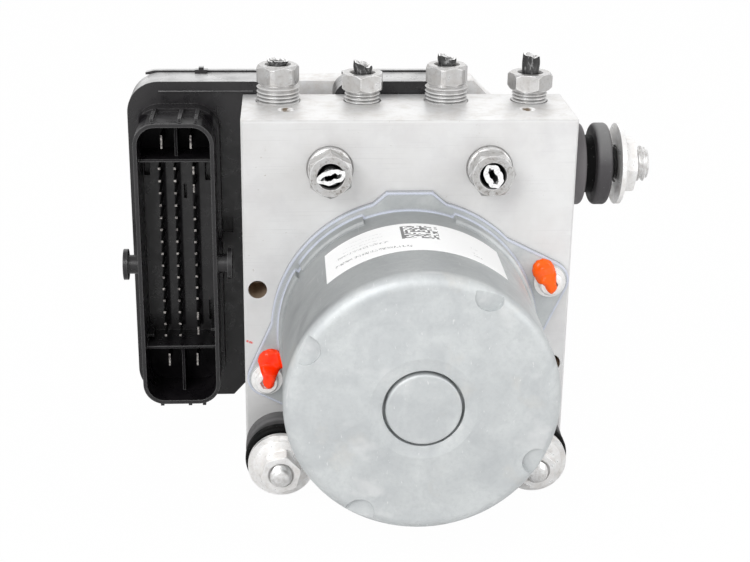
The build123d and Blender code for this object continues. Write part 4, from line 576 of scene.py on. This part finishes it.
def make_materials():
    """All materials by the name of their slot."""
    plated = zinc("plated_steel", tone=0.56, darkening=0.35, rough=0.33, ports=TOP_PORTS, threads=NUT_THREADS)
    grimy = zinc("grimy_steel", tone=0.52, darkening=1.0, rough=0.36, metallic=0.6, ports=FRONT_PORTS)
    bright = zinc("bright_zinc", tone=0.9, darkening=0.15, rough=0.32, metallic=0.5)
    steel = zinc("plain_steel", tone=0.62, darkening=0.1, rough=0.3, metallic=1.0)
    lid = zinc("cast_lid", tone=0.97, darkening=0.03, rough=0.5, metallic=0.05)
    glossy = moulded_plastic("housing_plastic", tone=0.007, rough=0.28, dust=0.07)
    dull = moulded_plastic("dull_plastic", tone=0.03, rough=0.5, dust=0.1)
    return {
        "anodised_aluminium": block_metal(), "motor_steel": can_metal(), "cast_aluminium": lid,
        "zinc_steel": bright, "nut_steel": plated, "front_nut_steel": grimy, "stud_steel": stud_metal(),
        "bearing_steel": steel, "spring_steel": steel, "core_steel": steel, "piston_aluminium": steel,
        "glossy_black_plastic": glossy, "black_plastic": dull, "carbon": dull, "ferrite": dull,
        "mount_rubber": rubber("mount_rubber", 0.085), "seal_rubber": rubber("seal_rubber", 0.02),
        "red_lacquer": lacquer(), "label_paper": label_paper(), "copper": copper(),
        "tinned_brass": tinned(), "board_laminate": board_green(),
        "coated_pipe": pipe_skin(), "bright_pipe": cut_metal(),
    }


NUT_FINISH = {"tube_nuts_large_top": "nut_steel", "tube_nuts_small_top": "nut_steel",
              "tube_nuts_front": "front_nut_steel"}


def dress_nodes(materials):
    """Every CAD node gets the material of its slot, and the brake-pipe nuts a duller plating."""
    for part in frame["record"]["subparts"]:
        shape = frame["nodes"][part["node"]]
        name = NUT_FINISH.get(part["node"], part["material_slot"])
        shape.data.materials.clear()
        shape.data.materials.append(materials[name])


def box_of(node):
    """A node's lowest and highest corners at rest, in millimetres."""
    return [Vector(corner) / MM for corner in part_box(node)]


def mesh_piece(name, points, faces, finishes, nodes, finish_of=(), sharp=50):
    """A smooth mesh from points in millimetres that rides on the body and replaces CAD nodes.

    finish_of gives each face its place in finishes, and sharp the angle above which an edge stays hard.
    """
    mesh = bpy.data.meshes.new(name)
    mesh.from_pydata([Vector(point) * MM for point in points], [], faces)
    mesh.polygons.foreach_set("use_smooth", [True] * len(faces))
    for finish in finishes:
        mesh.materials.append(finish)
    if finish_of:
        mesh.polygons.foreach_set("material_index", finish_of)
    mesh.update()
    mesh.set_sharp_from_angle(angle=radians(sharp))
    piece = bpy.data.objects.new(name, mesh)
    bpy.context.collection.objects.link(piece)
    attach(piece, BODY)
    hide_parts(*nodes)
    return piece


def ring_faces(rows, around, first=0, closed=False):
    """Quads between rows of points that each go once round, numbered from first."""
    faces = []
    for row in range(rows if closed else rows - 1):
        low = first + row * around
        high = first + (row + 1) % rows * around
        for step in range(around):
            after = (step + 1) % around
            faces.append((low + step, low + after, high + after, high + step))
    return faces


def smooth_step(value):
    """0 up to 0 and 1 from 1, with a smooth rise between."""
    value = min(max(value, 0.0), 1.0)
    return value * value * (3 - 2 * value)


def wobble(x, y, z):
    """Smooth noise between about -1 and 1, the same on each run."""
    return noise.noise(Vector((x, y, z)))


# Brake pipes, in millimetres, with the share of the CAD stub that the torn one reaches
STUB_REACH = 0.93
PIPE_RADIUS = 2.375
PIPE_WALL = 0.7
SIDE_WALL = 0.9
HALF_SLOT = 0.45
PIPE_AROUND = 96
PIPE_ROWS = 12
SQUEEZED_AT = 0.7
SPIKE_WIDTH = 0.3
LOWEST_RIM = 0.3
# The level at which bare metal starts outside and inside the pipe
TOP_BARE_FROM = (0.95, 0.4)
FRONT_BARE_FROM = (0.45, 0.9)
# Each end's width at the squeezed part and at the rim, its thickness, turn in degrees, how far the
# rim falls to one side and to the front, its raggedness, its spike, the wall at the rim and a seed
TOP_STUBS = (
    dict(node="pipe_stub_top_1", nut="tube_nuts_large_top", wide=6.3, rim=5.9, thick=3.0, turn=-12, fall=0.25,
         near=0.8, rag=0.7, spike=0.8, lip=0.55, seed=1.3),
    dict(node="pipe_stub_top_2", nut="tube_nuts_small_top", wide=5.9, rim=5.3, thick=3.2, turn=20, fall=0.45,
         near=0.7, rag=0.7, spike=0.7, lip=0.55, seed=4.1),
    dict(node="pipe_stub_top_3", nut="tube_nuts_large_top", wide=6.2, rim=5.2, thick=3.0, turn=14, fall=0.35,
         near=0.8, rag=0.7, spike=0.9, lip=0.55, seed=7.7),
    dict(node="pipe_stub_top_4", nut="tube_nuts_small_top", wide=5.6, rim=4.5, thick=3.2, turn=8, fall=0.15,
         near=0.5, rag=0.6, spike=0.5, lip=0.55, seed=9.2),
)
FRONT_ENDS = (
    dict(node="pipe_end_front_left", nut="tube_nuts_front", wide=7.0, rim=8.0, thick=3.9, turn=15, fall=0.0,
         near=0.0, rag=0.5, spike=0.0, lip=1.15, seed=12.4),
    dict(node="pipe_end_front_right", nut="tube_nuts_front", wide=6.4, rim=7.0, thick=4.7, turn=-62, fall=0.0,
         near=0.0, rag=0.5, spike=0.0, lip=1.45, seed=15.9),
)


def rim_height(stub, angle, reach):
    """How far the torn rim stands out at one angle, in millimetres."""
    across = cos(angle)
    height = reach * (1 - stub["fall"] * (1 + across) / 2) - stub["near"] * (1 - sin(angle)) / 2
    height += stub["rag"] * wobble(1.3 * across, 1.3 * sin(angle), stub["seed"])
    height += 0.25 * stub["rag"] * wobble(5 * across, 5 * sin(angle), stub["seed"])
    height += stub["spike"] * max(0.0, 1 - abs(angle - pi) / SPIKE_WIDTH)
    return min(max(height, LOWEST_RIM * reach), reach)


def crushed_point(stub, angle, level, reach, inner):
    """A point of the pipe's wall, round at the nut (level 0), flat and crumpled at the rim (level 1)."""
    flat = smooth_step(level / SQUEEZED_AT)
    wall = PIPE_WALL + (stub["lip"] - PIPE_WALL) * flat if inner else 0.0
    half = (stub["wide"] + (stub["rim"] - stub["wide"]) * level) / 2 - min(wall, SIDE_WALL)
    thin = max(stub["thick"] / 2 - wall, HALF_SLOT)
    round_radius = PIPE_RADIUS - wall
    u = cos(angle) * (round_radius + (half - round_radius) * flat)
    v = sin(angle) * (round_radius + (thin - round_radius) * flat)
    seed = stub["seed"]
    u += 0.30 * flat * wobble(1.6 * cos(angle), 1.6 * sin(angle) + level, seed)
    v += 0.55 * flat * wobble(2.2 * cos(angle) + level, 1.1 * sin(angle), seed + 5)
    if inner:
        v += 0.30 * flat * wobble(5 * cos(angle), 5 * sin(angle), seed + 9)
    return u, v, level * rim_height(stub, angle, reach)


def torn_pipe(stub, upright, materials):
    """A brake pipe cut off with pliers, as a closed wall with a ragged bright rim."""
    low, high = box_of(stub["node"])
    nut_low, nut_high = box_of(stub["nut"])
    centre = (low + high) / 2
    if upright:
        mouth, foot, reach = nut_high.z, low.z, (high.z - nut_high.z) * STUB_REACH
    else:
        mouth, foot, reach = nut_low.y, high.y, nut_low.y - low.y
    depth = abs(mouth - foot)
    levels = [step / PIPE_ROWS for step in range(PIPE_ROWS + 1)]
    rows = [(0.0, False, True)] + [(level, False, False) for level in levels]
    rows += [(level, True, False) for level in reversed(levels)] + [(0.0, True, True)]
    turn = radians(stub["turn"])
    points = []
    for level, inner, at_foot in rows:
        for step in range(PIPE_AROUND):
            u, v, w = crushed_point(stub, 2 * pi * step / PIPE_AROUND, level, reach, inner)
            w = -depth if at_foot else w
            x = u * cos(turn) - v * sin(turn)
            y = u * sin(turn) + v * cos(turn)
            if upright:
                points.append((centre.x + x, centre.y + y, mouth + w))
            else:
                points.append((centre.x + x, mouth - w, centre.z + y))
    faces = ring_faces(len(rows), PIPE_AROUND, closed=True)
    bare_from = TOP_BARE_FROM if upright else FRONT_BARE_FROM
    finish_of = []
    for level, inner, at_foot in rows:
        bare = not at_foot and level >= bare_from[inner]
        finish_of += [int(bare)] * PIPE_AROUND
    name = stub["node"].replace("pipe", "torn_pipe")
    finishes = (materials["coated_pipe"], materials["bright_pipe"])
    mesh_piece(name, points, faces, finishes, [stub["node"]], finish_of)


# Mount studs, in millimetres. The thread's depth is a share of its pitch, and its crest and flank are
# shares of half a turn.
LOWER_STUD = dict(radius=3.0, pitch=1.0)
SIDE_STUD = dict(radius=5.0, pitch=1.5)
THREAD_DEPTH = 0.61
THREAD_CREST = 0.12
THREAD_FLANK = 0.76
THREAD_AROUND = 40
THREAD_ROWS = 8
STUD_TIP = 0.9
STUD_IN_BLOCK = 7.0
SIDE_WASHER = 13.9


def threaded_rod(points, faces, start, along, across, length, radius, pitch):
    """Adds a rod with a helical thread, chamfered at its tip, to a list of points and faces."""
    first = len(points)
    other = along.cross(across)
    rows = int(length / pitch * THREAD_ROWS)
    for row in range(rows + 1):
        reach = length * row / rows
        for step in range(THREAD_AROUND):
            phase = reach / pitch - step / THREAD_AROUND
            groove = abs(2 * (phase - floor(phase)) - 1)
            cut = THREAD_DEPTH * pitch * min(max((groove - THREAD_CREST) / THREAD_FLANK, 0.0), 1.0)
            size = min(radius - cut, radius - STUD_TIP + length - reach)
            angle = 2 * pi * step / THREAD_AROUND
            points.append(start + along * reach + (across * cos(angle) + other * sin(angle)) * size)
    faces += ring_faces(rows + 1, THREAD_AROUND, first)
    last = first + rows * THREAD_AROUND
    faces.append(tuple(reversed(range(first, first + THREAD_AROUND))))
    faces.append(tuple(range(last, last + THREAD_AROUND)))


def mount_stud_threads(materials):
    """The two lower studs and the side stud, threaded, each from inside the block to its tip."""
    low, high = box_of("mount_studs")
    points, faces = [], []
    forward, sideways = Vector((0, -1, 0)), Vector((1, 0, 0))
    inner_end = FRONT + STUD_IN_BLOCK
    lower_x = -low.x - LOWER_STUD["radius"]
    lower_z = low.z + LOWER_STUD["radius"]
    for x in (-lower_x, lower_x):
        start = Vector((x, inner_end, lower_z))
        threaded_rod(points, faces, start, forward, sideways, inner_end - low.y, **LOWER_STUD)
    start = Vector((SIDE - STUD_IN_BLOCK, 0, high.z - SIDE_STUD["radius"]))
    threaded_rod(points, faces, start, sideways, -forward, high.x - start.x, **SIDE_STUD)
    mesh_piece("stud_threads", points, faces, [materials["stud_steel"]], ["mount_studs"])


# Drops of sealing lacquer over the ear, the screw's head and the can's shoulder, in millimetres. Each
# drop is a union of ovals, given as x, z, half width and half height.
EAR_SEAT = -17.5
SCREW_RISE = 3.7
HEAD_RADIUS, HEAD_SKIRT = 3.3, 1.5
SHOULDER_RISE = 3.2
SHOULDER_START, SHOULDER_SKIRT = 35.7, 1.4
MOTOR_Z = 46.0
LACQUER_AROUND = 96
LACQUER_RINGS = 18
LACQUER_EDGE = 1.3
LACQUER_STEP = 0.05
LACQUER_REACH = 12
LAST_RING = 0.02
SUNK = 0.1
BLOBS = (
    dict(screw=(-39.25, 31.75), heart=(-38.4, 34.8), thick=1.5,
         parts=((-37.9, 37.2, 3.9, 3.4), (-38.5, 34.2, 1.8, 2.2), (-38.7, 32.4, 1.6, 2.4))),
    dict(screw=(39.25, 60.25), heart=(38.4, 62.0), thick=1.4,
         parts=((37.4, 63.5, 3.1, 3.2), (38.6, 61.4, 1.5, 1.8), (39.3, 59.7, 1.5, 1.9))),
)


def blob_depth(blob, x, z):
    """How deep a point lies inside the smooth union of the blob's ovals, in millimetres."""
    total = None
    for middle_x, middle_z, half_x, half_z in blob["parts"]:
        depth = (1 - hypot((x - middle_x) / half_x, (z - middle_z) / half_z)) * min(half_x, half_z)
        if total is None:
            total = depth
        else:
            share = max(1.0 - abs(total - depth), 0.0)
            total = max(total, depth) + share * share / 4
    return total + 0.25 * wobble(x * 0.9, z * 0.9, 3.0)


def blob_front(blob, x, z):
    """How far the lacquer stands off the ear where it lies over the screw's head and the shoulder."""
    depth = min(max(blob_depth(blob, x, z) / LACQUER_EDGE, 0.0), 1.0)
    layer = blob["thick"] * sqrt(max(1 - (1 - depth) ** 2, 0.0))
    from_screw = hypot(x - blob["screw"][0], z - blob["screw"][1])
    head = SCREW_RISE * (1 - smooth_step((from_screw - HEAD_RADIUS) / HEAD_SKIRT))
    from_motor = hypot(x, z - MOTOR_Z)
    shoulder = SHOULDER_RISE * (1 - smooth_step((from_motor - SHOULDER_START) / SHOULDER_SKIRT))
    return max(head, shoulder) + layer * (1 + 0.2 * wobble(x * 0.5, z * 0.5, 8.0))


def blob_edge(blob, along_x, along_z):
    """How far the blob reaches from its heart in one direction, in millimetres."""
    x, z = blob["heart"]
    reach = 0.0
    while reach < LACQUER_REACH and blob_depth(blob, x + reach * along_x, z + reach * along_z) > 0:
        reach += LACQUER_STEP
    return reach


def lacquer_blobs(materials):
    """The drops of sealing lacquer, each in rings from its edge to its heart over a flat back."""
    points, faces = [], []
    for blob in BLOBS:
        first = len(points)
        heart_x, heart_z = blob["heart"]
        edges = []
        for step in range(LACQUER_AROUND):
            angle = -2 * pi * step / LACQUER_AROUND
            edges.append((cos(angle), sin(angle), blob_edge(blob, cos(angle), sin(angle))))
        for ring in range(LACQUER_RINGS + 1):
            share = 1 - (1 - LAST_RING) * max(ring - 1, 0) / (LACQUER_RINGS - 1)
            for along_x, along_z, reach in edges:
                x = heart_x + along_x * reach * share
                z = heart_z + along_z * reach * share
                points.append((x, EAR_SEAT + SUNK - (blob_front(blob, x, z) if ring else 0), z))
        faces += ring_faces(LACQUER_RINGS + 1, LACQUER_AROUND, first)
        last = first + LACQUER_RINGS * LACQUER_AROUND
        faces.append(tuple(range(last, last + LACQUER_AROUND)))
        faces.append(tuple(reversed(range(first, first + LACQUER_AROUND))))
    mesh_piece("lacquer_drops", points, faces, [materials["red_lacquer"]],
               ["sealing_lacquer"], sharp=180)


# Return springs: node, joint, long axis, the end that stays (0 low, 1 high) and travel in millimetres
SPRINGS = (
    ("accumulator_spring_left", "accumulator_piston_left_slide", 2, 0, 6.0),
    ("accumulator_spring_right", "accumulator_piston_right_slide", 2, 0, 6.0),
    ("pump_spring_left", "pump_piston_left_slide", 0, 0, 1.5),
    ("pump_spring_right", "pump_piston_right_slide", 0, 1, 1.5),
)


def coil_springs(materials):
    """The four return springs, each a copy of its node in spring steel that rides on the body."""
    for node, joint, axis, seated_end, travel in SPRINGS:
        coil = bpy.data.objects.new(node + "_coil", frame["nodes"][node].data.copy())
        bpy.context.collection.objects.link(coil)
        coil.data.materials.clear()
        coil.data.materials.append(materials["spring_steel"])
        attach(coil, BODY)
        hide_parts(node)
        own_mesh(coil)


def place_camera():
    """The camera that took the photograph."""
    data = bpy.data.cameras.new("photo_camera")
    data.sensor_width = SENSOR_WIDTH
    data.lens = FOCAL_PIXELS * SENSOR_WIDTH / IMAGE_WIDTH
    data.clip_start = 0.01
    camera = bpy.data.objects.new("photo_camera", data)
    bpy.context.collection.objects.link(camera)
    forward = Vector((sin(CAMERA_AZIMUTH) * cos(CAMERA_PITCH),
                      cos(CAMERA_AZIMUTH) * cos(CAMERA_PITCH),
                      -sin(CAMERA_PITCH)))
    right = Vector((cos(CAMERA_AZIMUTH), -sin(CAMERA_AZIMUTH), 0))
    down = forward.cross(right)
    turned_right = cos(CAMERA_ROLL) * right + sin(CAMERA_ROLL) * down
    turned_down = cos(CAMERA_ROLL) * down - sin(CAMERA_ROLL) * right
    columns = Matrix((turned_right, -turned_down, -forward)).transposed()
    camera.matrix_world = Matrix.Translation(CAMERA_AT) @ columns.to_4x4()
    bpy.context.scene.camera = camera


# Lamps: place and diameter in metres, and power in watts
LAMP_AIM = Vector((-0.01, -0.02, 0.05))
LAMPS = (("key", (-0.5, -0.8, 0.65), 0.7, 7.5),
         ("fill", (0.8, -0.5, 0.5), 0.6, 3.0),
         ("back", (0.1, 0.9, 0.8), 0.8, 1.6))
WORLD_LIGHT = 0.55
WORLD_SEEN = 1.0


def area_light(name, at, size, power):
    """A round soft lamp aimed at the object."""
    data = bpy.data.lights.new(name, "AREA")
    data.shape = "DISK"
    data.size = size
    data.energy = power
    lamp = bpy.data.objects.new(name, data)
    bpy.context.collection.objects.link(lamp)
    aim = LAMP_AIM - Vector(at)
    lamp.matrix_world = Matrix.Translation(at) @ aim.to_track_quat("-Z", "Y").to_matrix().to_4x4()


def light_scene():
    """A light tent: large soft lamps and a white world for what looks at it."""
    for lamp in LAMPS:
        area_light(*lamp)
    world = bpy.data.worlds.new("tent")
    bpy.context.scene.world = world
    world.use_nodes = True
    nodes = world.node_tree.nodes
    links = world.node_tree.links
    background = nodes["Background"]
    path = nodes.new("ShaderNodeLightPath")
    seen = nodes.new("ShaderNodeMath")
    seen.operation = "MAXIMUM"
    links.new(path.outputs["Is Camera Ray"], seen.inputs[0])
    links.new(path.outputs["Is Glossy Ray"], seen.inputs[1])
    through = nodes.new("ShaderNodeMath")
    through.operation = "MAXIMUM"
    links.new(seen.outputs[0], through.inputs[0])
    links.new(path.outputs["Is Transmission Ray"], through.inputs[1])
    level = nodes.new("ShaderNodeMapRange")
    level.inputs["To Min"].default_value = WORLD_LIGHT
    level.inputs["To Max"].default_value = WORLD_SEEN
    links.new(through.outputs[0], level.inputs["Value"])
    background.inputs["Color"].default_value = (1, 1, 1, 1)
    links.new(level.outputs["Result"], background.inputs["Strength"])


FLOOR_HALF = 2.0
FLOOR_DROP = 0.0002
FLOOR_GREY = 0.86
FLOOR_GLOW = 0.985  # the share of plain white that the camera sees, the rest being lit and shadowed


def lay_floor():
    """A pale floor that reads white to the camera and still takes the object's shadow."""
    mesh = bpy.data.meshes.new("floor")
    half = FLOOR_HALF
    corners = [(-half, -half, 0), (half, -half, 0), (half, half, 0), (-half, half, 0)]
    mesh.from_pydata(corners, [], [(0, 1, 2, 3)])
    ground = bpy.data.objects.new("floor", mesh)
    bpy.context.collection.objects.link(ground)
    ground.location.z = -FLOOR_DROP
    material = bpy.data.materials.new("floor_white")
    material.use_nodes = True
    nodes = material.node_tree.nodes
    links = material.node_tree.links
    shader = nodes["Principled BSDF"]
    shader.inputs["Base Color"].default_value = (*grey(FLOOR_GREY), 1)
    shader.inputs["Roughness"].default_value = 0.9
    glow = nodes.new("ShaderNodeEmission")
    path = nodes.new("ShaderNodeLightPath")
    seen = nodes.new("ShaderNodeMath")
    seen.operation = "MULTIPLY"
    seen.inputs[1].default_value = FLOOR_GLOW
    links.new(path.outputs["Is Camera Ray"], seen.inputs[0])
    blend = nodes.new("ShaderNodeMixShader")
    links.new(seen.outputs[0], blend.inputs["Fac"])
    links.new(shader.outputs[0], blend.inputs[1])
    links.new(glow.outputs[0], blend.inputs[2])
    links.new(blend.outputs[0], nodes["Material Output"].inputs["Surface"])
    mesh.materials.append(material)


place_camera()
light_scene()
lay_floor()
materials = make_materials()
dress_nodes(materials)
for stub in TOP_STUBS:
    torn_pipe(stub, True, materials)
for stub in FRONT_ENDS:
    torn_pipe(stub, False, materials)
mount_stud_threads(materials)
lacquer_blobs(materials)
coil_springs(materials)

bpy.context.scene.view_settings.view_transform = "Standard"
